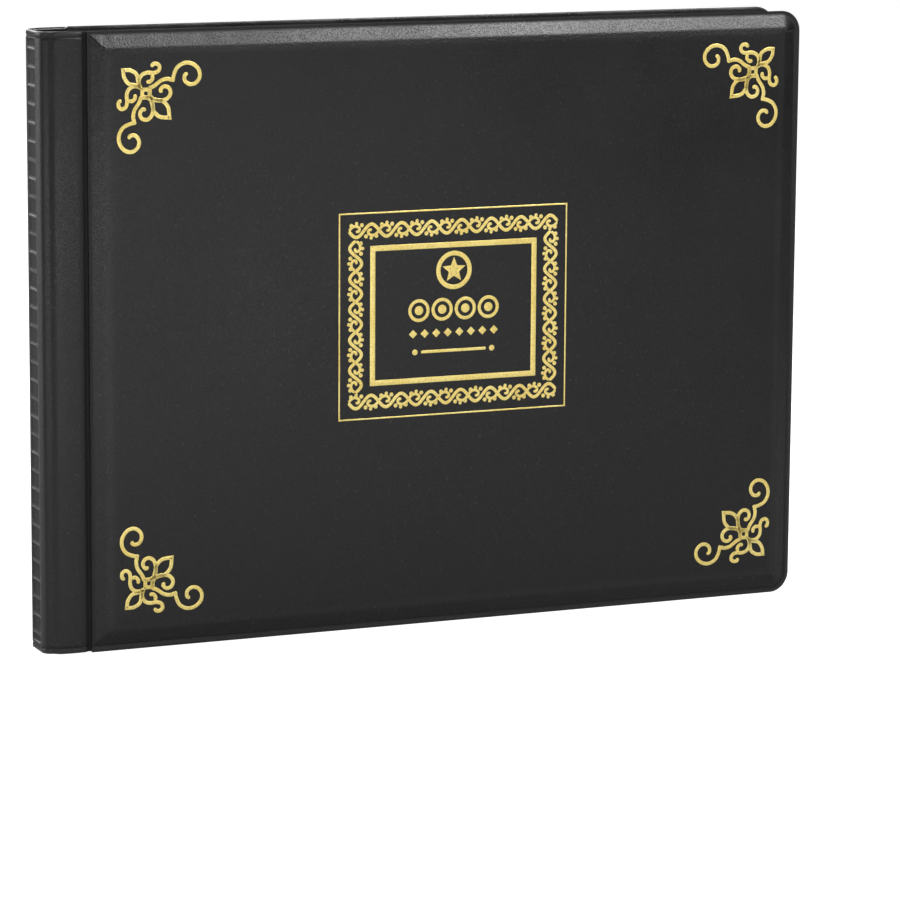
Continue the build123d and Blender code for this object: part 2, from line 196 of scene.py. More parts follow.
def plate(outer, inner):
    """Closed body between two grids: both grids' faces, and walls along their common border."""
    rows, cols = outer.shape[:2]
    count = rows * cols
    top = lattice(rows, cols)
    number = np.arange(count).reshape(rows, cols)
    border = np.concatenate([number[0, :-1], number[:-1, -1], number[-1, :0:-1], number[:0:-1, 0]])
    ahead = np.roll(border, -1)
    walls = np.stack([ahead, border, border + count, ahead + count], axis=1)
    points = np.concatenate([outer.reshape(-1, 3), inner.reshape(-1, 3)])
    return outwards(points, np.concatenate([top, top[:, ::-1] + count, walls]))


def sweep(sections, loop=False):
    """Closed body through sections (n, k, 3): a ring of k points carried along a path of n.

    An open path is closed at both ends by a section shrunk to its own middle.
    """
    if not loop:
        ends = [np.repeat(sections[i].mean(0)[None, None], sections.shape[1], 1) for i in (0, -1)]
        sections = np.concatenate([ends[0], sections, ends[1]])
    n, k = sections.shape[:2]
    along = np.arange(n if loop else n - 1)[:, None]
    around = np.arange(k)[None]
    a, b = along * k + around, along * k + (around + 1) % k
    step = lambda index: (index + k) % (n * k)
    faces = np.stack([a.ravel(), b.ravel(), step(b).ravel(), step(a).ravel()], axis=1)
    return outwards(sections.reshape(-1, 3), faces)


def join(parts):
    """Several (points, faces) as one, and the number of points in each."""
    offsets = np.cumsum([0] + [len(points) for points, _ in parts[:-1]])
    return (
        np.concatenate([points for points, _ in parts]),
        np.concatenate([faces + offset for (_, faces), offset in zip(parts, offsets)]),
    )


print("helpers: plate, sweep, join")

# %% [markdown]
# A mesh is filled with `foreach_set`, which copies whole arrays at once.  Points that coincide,
# such as a pole, are merged, and edges sharper than a chosen angle stay crisp while the rest is
# shaded smooth.


def add_piece(name, body, materials, parts, crease=40, masks=None, stands_for=(), inner=None):
    """Make a mesh object of (points, faces) parts, and say what it rides on and stands for.

    body is a body's name, or None for a piece that rides on no body; masks are values per
    point; inner marks the faces that take the second material.
    """
    points, faces = join(parts)
    mesh = bpy.data.meshes.new(name)
    mesh.vertices.add(len(points))
    mesh.vertices.foreach_set("co", (points * MM).astype(np.float32).ravel())
    mesh.loops.add(faces.size)
    mesh.loops.foreach_set("vertex_index", faces.astype(np.int32).ravel())
    mesh.polygons.add(len(faces))
    mesh.polygons.foreach_set("loop_start", np.arange(0, faces.size, 4, dtype=np.int32))
    for mask, values in (masks or {}).items():
        attribute = mesh.attributes.new(mask, "FLOAT", "POINT")
        attribute.data.foreach_set("value", values.astype(np.float32).ravel())
    for material in materials:
        mesh.materials.append(material)
    if inner is not None:
        mesh.polygons.foreach_set("material_index", inner.astype(np.int32))
    mesh.update(calc_edges=True)
    work = bmesh.new()
    work.from_mesh(mesh)
    bmesh.ops.remove_doubles(work, verts=work.verts, dist=1e-7)
    bmesh.ops.dissolve_degenerate(work, edges=work.edges, dist=1e-8)
    work.to_mesh(mesh)
    work.free()
    mesh.polygons.foreach_set("use_smooth", np.ones(len(mesh.polygons), bool))
    mesh.set_sharp_from_angle(angle=math.radians(crease))
    piece = bpy.data.objects.new(name, mesh)
    bpy.context.scene.collection.objects.link(piece)
    if body:
        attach(piece, body)
    if stands_for:
        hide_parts(*stands_for)
    print(f"{name}: {len(mesh.polygons)} faces")
    return piece


# %% [markdown]
# ## Patterns shared by several finishes
# Vinyl grain, long shallow ripples, and the marks of handling turn up on more than one material.
# Each is a shader node group with named inputs and outputs, built once.  They read the object's
# own coordinates in metres, so a size in millimetres on the real thing is the same size here.


# %% Node helpers
def new_group(name, inputs, outputs):
    """Empty node group with these inputs (name, kind, start value) and outputs (name, kind)."""
    tree = bpy.data.node_groups.new(name, "ShaderNodeTree")
    for label, kind, value in inputs:
        socket = tree.interface.new_socket(label, in_out="INPUT", socket_type=f"NodeSocket{kind}")
        if value is not None:
            socket.default_value = value
    for label, kind in outputs:
        tree.interface.new_socket(label, in_out="OUTPUT", socket_type=f"NodeSocket{kind}")
    return tree, tree.nodes.new("NodeGroupInput").outputs, tree.nodes.new("NodeGroupOutput").inputs


def ramp(tree, value, low, high, to_low=0.0, to_high=1.0):
    """Value carried from low..high to to_low..to_high, clamped, with soft ends."""
    inputs = {"Value": value, "From Min": low, "From Max": high, "To Min": to_low, "To Max": to_high}
    return put(tree, "ShaderNodeMapRange", inputs, interpolation_type="SMOOTHSTEP").outputs["Result"]


def blend_colours(tree, factor, a, b, blend="MIX"):
    """Colour a changed to colour b by a factor from 0 to 1."""
    mix = put(tree, "ShaderNodeMix", data_type="RGBA", blend_type=blend)
    for index, value in ((0, factor), (6, a), (7, b)):
        if isinstance(value, bpy.types.NodeSocket):
            tree.links.new(value, mix.inputs[index])
        else:
            mix.inputs[index].default_value = value
    return mix.outputs[2]


def sum_of(tree, *terms):
    """Add up sockets, each with a weight."""
    total = None
    for socket, weight in terms:
        inputs = {0: socket, 1: weight}
        if total is None:
            total = put(tree, "ShaderNodeMath", inputs, operation="MULTIPLY").outputs[0]
        else:
            total = put(tree, "ShaderNodeMath", inputs | {2: total}, operation="MULTIPLY_ADD").outputs[0]
    return total


print("node helpers ready")

# %% [markdown]
# Grain is a cell pattern whose borders are pressed into the vinyl by an embossing roller.  A
# little noise bends the cells so that they don't look drawn, and finer noise roughens their tops.

# %% Grain group
grain_tree, take, give = new_group(
    "pressed_grain",
    [("Vector", "Vector", None), ("Cell", "Float", 0.0004)],
    [("Height", "Float"), ("Valleys", "Float")],
)
density = put(grain_tree, "ShaderNodeMath", {0: 1.0, 1: take["Cell"]}, operation="DIVIDE").outputs[0]
bend = put(grain_tree, "ShaderNodeTexNoise", {"Vector": take["Vector"], "Scale": density, "Detail": 1.0})
one_cell = {0: bend.outputs["Color"], 1: take["Cell"]}
shift = put(grain_tree, "ShaderNodeVectorMath", one_cell, operation="MULTIPLY")
bent = put(grain_tree, "ShaderNodeVectorMath", {0: take["Vector"], 1: shift.outputs[0]}, operation="ADD")
cells = put(grain_tree, "ShaderNodeTexVoronoi", {"Vector": bent.outputs[0], "Scale": density}, feature="F1")
valleys = ramp(grain_tree, cells.outputs["Distance"], 0.42, 0.82)
fine_density = put(grain_tree, "ShaderNodeMath", {0: density, 1: 3.1}, operation="MULTIPLY").outputs[0]
fine_noise = {"Vector": take["Vector"], "Scale": fine_density, "Detail": 2.0}
fine = put(grain_tree, "ShaderNodeTexNoise", fine_noise)
height = sum_of(grain_tree, (valleys, -0.8), (fine.outputs["Fac"], 0.35))
grain_tree.links.new(height, give["Height"])
grain_tree.links.new(valleys, give["Valleys"])
print("group:", grain_tree.name)

# %% [markdown]
# Ripples are what soft plastic does when it has been stored: long shallow waves, longer one way
# than the other.  Handling leaves soft patches where fingers polished the surface, and specks.

# %% Ripple and handling groups
ripple_tree, take, give = new_group(
    "soft_ripples",
    [("Vector", "Vector", None), ("Length", "Float", 0.02), ("Stretch", "Vector", (1.0, 1.0, 1.0))],
    [("Height", "Float")],
)
both_ways = {0: take["Vector"], 1: take["Stretch"]}
stretched = put(ripple_tree, "ShaderNodeVectorMath", both_ways, operation="MULTIPLY")
density = put(ripple_tree, "ShaderNodeMath", {0: 1.0, 1: take["Length"]}, operation="DIVIDE").outputs[0]
wave_noise = {"Vector": stretched.outputs[0], "Scale": density, "Detail": 2.0, "Distortion": 0.6}
waves = put(ripple_tree, "ShaderNodeTexNoise", wave_noise)
ripple_tree.links.new(waves.outputs["Fac"], give["Height"])

handling_tree, take, give = new_group(
    "handling_marks",
    [("Vector", "Vector", None), ("Patch", "Float", 0.03)],
    [("Polish", "Float"), ("Specks", "Float")],
)
density = put(handling_tree, "ShaderNodeMath", {0: 1.0, 1: take["Patch"]}, operation="DIVIDE").outputs[0]
patch_noise = {"Vector": take["Vector"], "Scale": density, "Detail": 3.0}
patches = put(handling_tree, "ShaderNodeTexNoise", patch_noise)
speck_noise = {"Vector": take["Vector"], "Scale": 1400.0, "Detail": 1.0}
dots = put(handling_tree, "ShaderNodeTexNoise", speck_noise)
handling_tree.links.new(ramp(handling_tree, patches.outputs["Fac"], 0.3, 0.7), give["Polish"])
handling_tree.links.new(ramp(handling_tree, dots.outputs["Fac"], 0.66, 0.74), give["Specks"])
print("groups:", ripple_tree.name, handling_tree.name)


# %% A material with the shared groups in place
class Finish:
    """A material under construction: its tree, its Principled shader and its own coordinates."""

    def __init__(self, name, **constants):
        self.material = bpy.data.materials.new(name)
        self.material.use_nodes = True
        self.tree = self.material.node_tree
        self.shader = self.tree.nodes["Principled BSDF"]
        self.here = put(self.tree, "ShaderNodeTexCoord").outputs["Object"]
        for key, value in constants.items():
            self.shader.inputs[key.replace("_", " ")].default_value = value

    def group(self, tree, **inputs):
        return put(self.tree, "ShaderNodeGroup", {"Vector": self.here} | inputs, node_tree=tree).outputs

    def mask(self, name):
        return put(self.tree, "ShaderNodeAttribute", attribute_name=name).outputs["Fac"]

    def link(self, socket, name):
        self.tree.links.new(socket, self.shader.inputs[name])

    def bump(self, *layers):
        """Chain Bump nodes: each layer is a height and the depth in metres that 1 stands for."""
        normal = None
        for socket, depth in layers:
            inputs = {"Height": socket, "Distance": depth, "Strength": 1.0}
            if normal is not None:
                inputs["Normal"] = normal
            normal = put(self.tree, "ShaderNodeBump", inputs).outputs["Normal"]
        self.link(normal, "Normal")


print("finish helper ready")

# %% [markdown]
# ## Vinyl finishes
# The cover is charcoal vinyl with a fine pressed grain.  Its colour is nearly black, and what
# reads as grey is the sheen of the grain's tops.  Ridges are rubbed lighter and also carry a painted
# highlight in their colour; welds, creases, the groove and the ladder's cells are painted darker as
# shade, and welds are dull.  Those two masks come with each mesh.  The lining is the same plastic
# with hardly any grain, long ripples and more gloss.  The leaves are thin black sheet with a very fine
# surface.

# %% Cover, lining and page vinyl
cover = Finish("cover_vinyl", Specular_IOR_Level=0.42)
grain = cover.group(grain_tree, Cell=0.00042)
marks = cover.group(handling_tree, Patch=0.035)
TOP_BLACK, VALLEY_BLACK = (0.0055, 0.0055, 0.0063, 1), (0.0025, 0.0025, 0.0028, 1)
SPECK_GREY, RUBBED_HIGHLIGHT_GREY = (0.05, 0.05, 0.05, 1), (0.055, 0.055, 0.056, 1)
WELD_SHADE_BLACK = (0.0012, 0.0012, 0.0013, 1)
tone = blend_colours(cover.tree, grain["Valleys"], TOP_BLACK, VALLEY_BLACK)
tone = blend_colours(cover.tree, sum_of(cover.tree, (marks["Specks"], 0.35)), tone, SPECK_GREY)
# Painted highlight, partly real rubbing: ridges, rims, rungs and the band's ends get a lighter grey where
# they would catch the light.
tone = blend_colours(cover.tree, cover.mask("wear_and_highlight"), tone, RUBBED_HIGHLIGHT_GREY)
# Painted shade, on real welds: creases, the groove beside the strip and the ladder's cells get near-black
# colour where shade falls; the welds are also dull (roughness below).
tone = blend_colours(cover.tree, cover.mask("weld"), tone, WELD_SHADE_BLACK)
cover.link(tone, "Base Color")
dullness = sum_of(cover.tree, (marks["Polish"], 0.4), (grain["Valleys"], 0.4), (cover.mask("weld"), 1.4))
cover.link(ramp(cover.tree, dullness, -1, 2, 0.18, 0.64), "Roughness")
ripples = cover.group(ripple_tree, Length=0.016)
cover.bump((ripples["Height"], 0.00008), (grain["Height"], 0.000022))

lining = Finish("lining_vinyl", Specular_IOR_Level=0.5)
ripples = lining.group(ripple_tree, Length=0.022)
grain = lining.group(grain_tree, Cell=0.00025)
marks = lining.group(handling_tree, Patch=0.025)
tone = blend_colours(lining.tree, marks["Specks"], (0.011, 0.011, 0.012, 1), (0.04, 0.04, 0.04, 1))
lining.link(tone, "Base Color")
lining.link(ramp(lining.tree, marks["Polish"], 0, 1, 0.32, 0.22), "Roughness")
lining.bump((ripples["Height"], 0.0006), (grain["Height"], 0.000008))

page = Finish("page_vinyl", Specular_IOR_Level=0.5)
ripples = page.group(ripple_tree, Length=0.03)
grain = page.group(grain_tree, Cell=0.0002)
marks = page.group(handling_tree, Patch=0.02)
tone = blend_colours(page.tree, marks["Specks"], (0.010, 0.010, 0.011, 1), (0.035, 0.035, 0.035, 1))
page.link(tone, "Base Color")
page.link(ramp(page.tree, marks["Polish"], 0, 1, 0.45, 0.33), "Roughness")
page.bump((ripples["Height"], 0.0003), (grain["Height"], 0.000006))
print("vinyl finishes:", cover.material.name, lining.material.name, page.material.name)

# %% [markdown]
# ## Films
# The pockets are clear soft film, the flaps over their mouths are smoky, and where film is welded
# to the leaf it turns a frosted grey with the fine knurl of the welding bar.  Thin film hardly
# bends light, so it is a mostly see-through surface with a gloss rather than solid glass: the
# coins behind stay bright.

# %% Clear, smoky and frosted film
clear = Finish("clear_film", Base_Color=(0.5, 0.51, 0.52, 1), Specular_IOR_Level=0.6)
ripples = clear.group(ripple_tree, Length=0.011)
marks = clear.group(handling_tree, Patch=0.012)
haze = sum_of(clear.tree, (marks["Polish"], 0.6), (marks["Specks"], 0.6))
clear.link(ramp(clear.tree, haze, 0, 1, 0.07, 0.11), "Alpha")
clear.link(ramp(clear.tree, marks["Polish"], 0, 1, 0.06, 0.14), "Roughness")
clear.bump((ripples["Height"], 0.00025))

smoky = Finish("smoky_film", Base_Color=(0.11, 0.11, 0.115, 1), Specular_IOR_Level=0.5)
ripples = smoky.group(ripple_tree, Length=0.014)
marks = smoky.group(handling_tree, Patch=0.015)
smoky.link(ramp(smoky.tree, marks["Polish"], 0, 1, 0.44, 0.52), "Alpha")
smoky.link(ramp(smoky.tree, marks["Specks"], 0, 1, 0.12, 0.3), "Roughness")
smoky.bump((ripples["Height"], 0.0004))

frosted = Finish("frosted_weld", Specular_IOR_Level=0.4)
marks = frosted.group(handling_tree, Patch=0.006)
knurl = put(
    frosted.tree,
    "ShaderNodeTexChecker",
    {"Vector": frosted.here, "Scale": 2200.0, "Color1": (1, 1, 1, 1), "Color2": (0, 0, 0, 1)},
)
tone = blend_colours(frosted.tree, marks["Polish"], (0.17, 0.17, 0.175, 1), (0.30, 0.30, 0.31, 1))
frosted.link(tone, "Base Color")
frosted.link(ramp(frosted.tree, marks["Polish"], 0, 1, 0.5, 0.38), "Roughness")
frosted.bump((knurl.outputs["Fac"], 0.00002))
print("films:", clear.material.name, smoky.material.name, frosted.material.name)

# %% [markdown]
# ## Metals
# The stamping is thin gold foil: it follows the vinyl's grain, and is worn dull in places, so
# only about half of it mirrors as metal does and the rest scatters light like gold paint.  The
# coins are two golds, one pale and one deeper, half bright, with tarnish kept in the low parts of
# the relief, which the mesh marks for the material.

# %% Foil and coin golds
foil = Finish("gold_foil", Metallic=0.55, Specular_IOR_Level=0.5)
grain = foil.group(grain_tree, Cell=0.00042)
marks = foil.group(handling_tree, Patch=0.009)
tone = blend_colours(foil.tree, marks["Polish"], (0.88, 0.68, 0.19, 1), (0.97, 0.80, 0.28, 1))
worn = sum_of(foil.tree, (grain["Valleys"], 0.35))
foil.link(blend_colours(foil.tree, worn, tone, (0.45, 0.33, 0.12, 1)), "Base Color")
foil.link(ramp(foil.tree, grain["Valleys"], 0, 1, 0.34, 0.5), "Roughness")
foil.bump((grain["Height"], 0.000012))


def coin_finish(name, bright, dull):
    """Coin metal: bright on the relief, dull where the mesh's low mask is high."""
    metal = Finish(name, Metallic=1.0)
    scuffs = metal.group(ripple_tree, Length=0.0012, Stretch=(1.0, 1.0, 5.0))
    marks = metal.group(handling_tree, Patch=0.006)
    tarnish = sum_of(metal.tree, (metal.mask("low"), 0.8))
    tone = blend_colours(metal.tree, tarnish, bright, dull)
    touched = sum_of(metal.tree, (marks["Polish"], 0.25))
    metal.link(blend_colours(metal.tree, touched, tone, dull), "Base Color")
    metal.link(ramp(metal.tree, marks["Polish"], 0, 1, 0.24, 0.36), "Roughness")
    metal.bump((scuffs["Height"], 0.00001))
    return metal


pale_gold = coin_finish("pale_gold_coin", (0.98, 0.80, 0.38, 1), (0.55, 0.40, 0.14, 1))
deep_gold = coin_finish("deep_gold_coin", (0.98, 0.60, 0.17, 1), (0.50, 0.26, 0.06, 1))
print("metals:", foil.material.name, pale_gold.material.name, deep_gold.material.name)

# %% [markdown]
# ## What is inside the covers
# Foam, grey board and card are closed in, but each still has a finish of its own: open foam
# cells, and pressed paper fibre with flecks.


# %% Foam, board and card
def fibre_finish(name, dark, light, size, depth, rough):
    """Two-tone noise of one size, as in pressed fibre or foam."""
    made = Finish(name, Roughness=rough)
    fibres = made.group(ripple_tree, Length=size, Stretch=(1.0, 3.0, 1.0))
    marks = made.group(handling_tree, Patch=size * 6)
    tone = blend_colours(made.tree, fibres["Height"], dark, light)
    made.link(blend_colours(made.tree, sum_of(made.tree, (marks["Specks"], 0.6)), tone, dark), "Base Color")
    made.bump((fibres["Height"], depth))
    return made


foam = fibre_finish("foam", (0.60, 0.58, 0.52, 1), (0.84, 0.83, 0.78, 1), 0.0011, 0.0003, 0.95)
BOARD_DARK, BOARD_LIGHT = (0.33, 0.31, 0.28, 1), (0.52, 0.50, 0.46, 1)
greyboard = fibre_finish("greyboard", BOARD_DARK, BOARD_LIGHT, 0.0008, 0.00006, 0.9)
card = fibre_finish("card", (0.42, 0.40, 0.35, 1), (0.58, 0.56, 0.51, 1), 0.0005, 0.00004, 0.85)
films = (clear, smoky, frosted)
metals = (foil, pale_gold, deep_gold)
boards = (foam, greyboard, card)
finishes = {f.material.name: f.material for f in (cover, lining, page, *films, *metals, *boards)}
for row in frame["record"]["subparts"]:
    mesh = frame["nodes"][row["node"]].data
    mesh.materials.clear()
    mesh.materials.append(finishes[row["material_slot"]])
print(len(finishes), "finishes on", len(frame["nodes"]), "nodes")

# %% [markdown]
# ## Padded covers
# Each cover is vinyl welded all round over foam and board.  From outside it is a flat welded rim,
# a crease, a slope of about 4 mm that the foam pushes out, and a nearly flat middle.  The slope
# puckers a little along the weld.  The cover's height is a function of how far a point is from
# the outline, so one curve, worked out once and smoothed, shapes all four sides and their mitres.

# %% Outline and height curves
PANEL = (-86.05, 97.25, 0.0, 145.0)  # x from and to, z from and to
PANEL_CORNER = 5.0
WELD_Y = 6.70
FOLD_HIDES = 1.1  # width of rim that the groove beside the strip swallows
HEAD_HIDES = 0.8  # how much narrower the rim is at the head
OUTER_CURVE = (
    (0, 0.08), (0.25, 0.40), (1.15, 0.42), (1.45, 0.22), (1.75, 0.50),
    (4.7, 1.66), (6.0, 1.81), (7.5, 1.85), (90, 1.85),
)  # distance from the outline and height over the weld plane
INNER_CURVE = (
    (0, 0.05), (0.25, 0.28), (1.1, 0.30), (1.3, 0.22), (1.7, 1.36), (2.3, 1.56), (3.6, 1.63), (90, 1.65),
)


def curve_value(curve, d, blur=0.6):
    """Height at distance d: straight lines between the curve's points, rounded by a moving mean."""
    step = 0.02
    t = np.arange(-2, 24, step)
    mean = np.ones(int(blur / step)) / int(blur / step)
    height = np.convolve(np.interp(t, *zip(*curve)), mean, mode="same")
    return np.interp(d, t[60:-60], height[60:-60])


def spaced(low, high, edge, fine, coarse):
    """Positions from low to high: fine steps over the first and last edge mm, coarse between."""
    n_edge, n_mid = round(edge / fine), round((high - low - 2 * edge) / coarse)
    first = np.linspace(low, low + edge, n_edge, endpoint=False)
    middle = np.linspace(low + edge, high - edge, n_mid, endpoint=False)
    return np.concatenate([first, middle, np.linspace(high - edge, high, n_edge + 1)])


def panel_depth(x, z, depth):
    """Depth in the outline, with less rim at the fold, where the groove swallows it, and at the
    head, where the padding comes nearly to the edge."""
    x0, x1, z0, z1 = PANEL
    at_corner = (x > x1 - PANEL_CORNER) & ((z < z0 + PANEL_CORNER) | (z > z1 - PANEL_CORNER))
    head_share = np.clip((z - z1 + 12) / 6, 0, 1)  # none until 12 mm under the head, all from 6 mm
    to_sides = np.minimum(x - x0 + FOLD_HIDES, x1 - x)
    straight = np.minimum(to_sides, np.minimum(z - z0, z1 - z + HEAD_HIDES))
    round_corner = depth + HEAD_HIDES * head_share * np.clip((x1 - x) / PANEL_CORNER, 0, 1)
    return np.where(at_corner, round_corner, straight)


def round_off(x, z, box, left_r, right_r):
    """Slide points near a box's corners on to quarter circles, and give their depth in the outline.

    In the square of side r at a corner, with a and b the offsets from the arc's middle over r, a
    point goes to max(a, b) * r along its own direction, and its depth is r - max(a, b) * r.
    """
    x0, x1, z0, z1 = box
    depth = np.minimum(np.minimum(x - x0, x1 - x), np.minimum(z - z0, z1 - z))
    for side, r, cx in ((-1, left_r, x0 + left_r), (1, right_r, x1 - right_r)):
        for up, cz in ((-1, z0 + r), (1, z1 - r)):
            if r <= 0:
                continue
            a, b = (x - cx) * side / r, (z - cz) * up / r
            near = (a > 1e-9) & (b > 1e-9)
            reach, length = np.maximum(a, b), np.where(near, np.hypot(a, b), 1)
            depth = np.where(near, r * (1 - reach), depth)
            x = np.where(near, cx + side * r * reach * a / length, x)
            z = np.where(near, cz + up * r * reach * b / length, z)
    return x, z, depth


def uneven(t, seed, shortest=2.2, longest=9.0, waves=9):
    """Irregular wave along t: the mean of a few sines with seeded lengths and starts."""
    rng = np.random.default_rng(seed)
    turn = 2 * np.pi / rng.uniform(shortest, longest, waves)
    start = rng.uniform(0, 2 * np.pi, waves)
    total = 0
    for k, s in zip(turn, start):
        total = total + np.sin(t * k + s)
    return total / math.sqrt(waves)


print("panel", PANEL, "weld plane at", WELD_Y)


# %% Height of the padding
def puckers(x, z, depth, seed, size):
    """Small folds across the slope: waves along whichever side is nearer, fading 4 mm in."""
    x0, x1, z0, z1 = PANEL
    to_side = np.minimum(x - x0, x1 - x)
    to_end = np.minimum(z - z0, z1 - z)
    side = 1 / (1 + np.exp(np.clip((to_side - to_end) / 0.7, -50, 50)))
    window = np.exp(-(((depth - 2.3) / 1.5) ** 2)) * np.clip((depth - 0.2) / 0.8, 0, 1)
    return size * window * (side * uneven(z, seed) + (1 - side) * uneven(x, seed + 1))


def padding_height(x, z, depth, seed):
    """Height over the weld plane: outline curve, a slight crown, puckers, and the wrinkled
    line where the vinyl was drawn over the board's edge beside the fold."""
    x0, x1, z0, z1 = PANEL
    across, up = (x - x0) / (x1 - x0), (z - z0) / (z1 - z0)
    crown = 0.22 * np.sin(np.pi * across) ** 0.8 * np.sin(np.pi * up) ** 0.8
    from_fold = x - x0
    line = np.exp(-(((from_fold - 3.5 - 0.16 * uneven(z, seed + 5)) / 0.2) ** 2))
    line = line * np.clip((depth - 2.6) / 0.8, 0, 1) * (0.55 + 0.45 * uneven(z, seed + 6, 1.0, 4.0))
    return curve_value(OUTER_CURVE, depth) + crown + puckers(x, z, depth, seed, 0.022) - 0.13 * line


def upright(x, y, z):
    """Grid of points from three arrays, broadcast together."""
    return np.stack(np.broadcast_arrays(x, y, z), axis=-1).astype(float)


def both_faces(mask):
    """A mask of one grid, repeated for the plate's other grid."""
    return np.tile(mask.ravel(), 2)


def panel_grid(edge, fine, coarse_x, coarse_z, inset=0.0):
    """Grid over a panel, fine near its outline, as x, z and depth in the outline."""
    x0, x1, z0, z1 = PANEL
    box = (x0 + inset, x1 - inset, z0 + inset, z1 - inset)
    x = spaced(*box[:2], edge, fine, coarse_x)
    z = spaced(*box[2:], edge, fine, coarse_z)
    return round_off(*np.meshgrid(x, z, indexing="ij"), box, 0, PANEL_CORNER - inset)


FRONT_SEED, BACK_SEED = 3, 23
SKIN_T, LINING_DEEP = 0.45, 1.66
FOAM_INSET, FOAM_LOW, FOAM_LEAST = 2.1, 0.02, 0.1


def padded_cover(name, side, seed):
    """Outer vinyl, inner vinyl and foam of one cover, all measured from its weld plane."""
    x, z, depth = panel_grid(7.5, 0.25, 1.3, 1.0)
    depth = panel_depth(x, z, depth)
    outer = upright(x, side * (WELD_Y + padding_height(x, z, depth, seed)), z)
    # Painted highlight with some rubbing along the slope's shoulder and the rim's top.
    shoulder = 0.1 * np.exp(-(((depth - 5.6) / 0.9) ** 2))
    rim = 0.3 * np.exp(-(((depth - 0.45) / 0.35) ** 2))
    # Painted shade in the crease between rim and slope, which is also the dull weld line.
    weld = np.exp(-(((depth - 1.4) / 0.32) ** 2))
    add_piece(
        f"{name}_padding", f"{name}_cover", [cover.material],
        [plate(outer, upright(x, side * WELD_Y, z))],
        masks={"wear_and_highlight": both_faces(shoulder + rim), "weld": both_faces(weld)},
        stands_for=[f"{name}_cover_skin"],
    )
    x, z, depth = panel_grid(6.5, 0.5, 2.5, 2.5)
    inward = curve_value(INNER_CURVE, depth) + puckers(x, z, depth, seed + 40, 0.035)
    inner = upright(x, side * (WELD_Y - np.minimum(inward, LINING_DEEP)), z)
    add_piece(
        f"{name}_lining", f"{name}_cover", [lining.material],
        [plate(inner, upright(x, side * WELD_Y, z))],
        stands_for=[f"{name}_cover_liner"],
    )
    x, z, depth = panel_grid(5, 0.5, 3, 3, FOAM_INSET)
    under = np.maximum(curve_value(OUTER_CURVE, depth + FOAM_INSET) - SKIN_T, FOAM_LEAST)
    add_piece(
        f"{name}_foam", f"{name}_cover", [foam.material],
        [plate(upright(x, side * (WELD_Y + under), z), upright(x, side * (WELD_Y + FOAM_LOW), z))],
        stands_for=[f"{name}_foam_pad"],
    )


padded_cover("front", -1, FRONT_SEED)
padded_cover("back", 1, BACK_SEED)

# %% [markdown]
# ## Spine and strips
# One band of vinyl runs round the spine: from a flat back with a ladder of pressed cells, over
# two rounded corners, along the strips beside the covers.  The hinges lie in the corners, so the
# band is made in halves that meet on the spine's middle line; each half rides on no body.  A half
# is a path in plan, offset outwards for the relief and inwards for the thickness, and repeated up
# the height.

# %% Path round a corner of the spine
SPINE_X, SPINE_HALF = -97.25, 4.9
FOLD_X, STRIP_Y = -86.25, 6.95
TURN_R = 2.5
BAND_T = 1.38
HEIGHT = 145.0
RUNG_PITCH, RUNG_W, LADDER_HALF, LADDER_END = 4.27, 0.62, 2.7, 2.2
BORDER_Y = 3.3  # middle of the raised line beside the ladder
END_CREASE = 1.35  # from the band's ends to their pressed line
STRIP_CROWN, CREST = 0.7, 0.3  # height of the strip's bulge, and its place along the strip
FLAT_STEPS = TURN_STEPS = 24


def band_path(end_x, step=0.22):
    """Path from the spine's middle round the corner and along the strip, for the +Y side.

    Two straight runs joined by an arc of radius TURN_R; each point has its outward normal and its
    distance along the path.
    """
    run = np.array([FOLD_X - SPINE_X, STRIP_Y - SPINE_HALF])
    run = run / np.hypot(*run)
    turn = math.acos(run[1])
    cut = TURN_R * math.tan(turn / 2)
    rise = np.linspace(0, SPINE_HALF - cut, FLAT_STEPS)
    first = np.stack([np.full(FLAT_STEPS, SPINE_X), rise], axis=1)
    angle = np.linspace(0, turn, TURN_STEPS + 2)[1:-1]
    centre = np.array([SPINE_X + TURN_R, SPINE_HALF - cut])
    arc = centre + TURN_R * np.stack([-np.cos(angle), np.sin(angle)], axis=1)
    start = np.array([SPINE_X, SPINE_HALF]) + cut * run
    length = (end_x - start[0]) / run[0]
    last = start + np.linspace(0, length, int(length / step))[:, None] * run
    path = np.concatenate([first, arc, last])
    flat = np.tile((-1.0, 0.0), (FLAT_STEPS, 1))
    slant = np.tile((-run[1], run[0]), (len(last), 1))
    normal = np.concatenate([flat, np.stack([-np.cos(angle), np.sin(angle)], axis=1), slant])
    along = np.concatenate([[0], np.cumsum(np.hypot(*np.diff(path, axis=0).T))])
    return path, normal, along


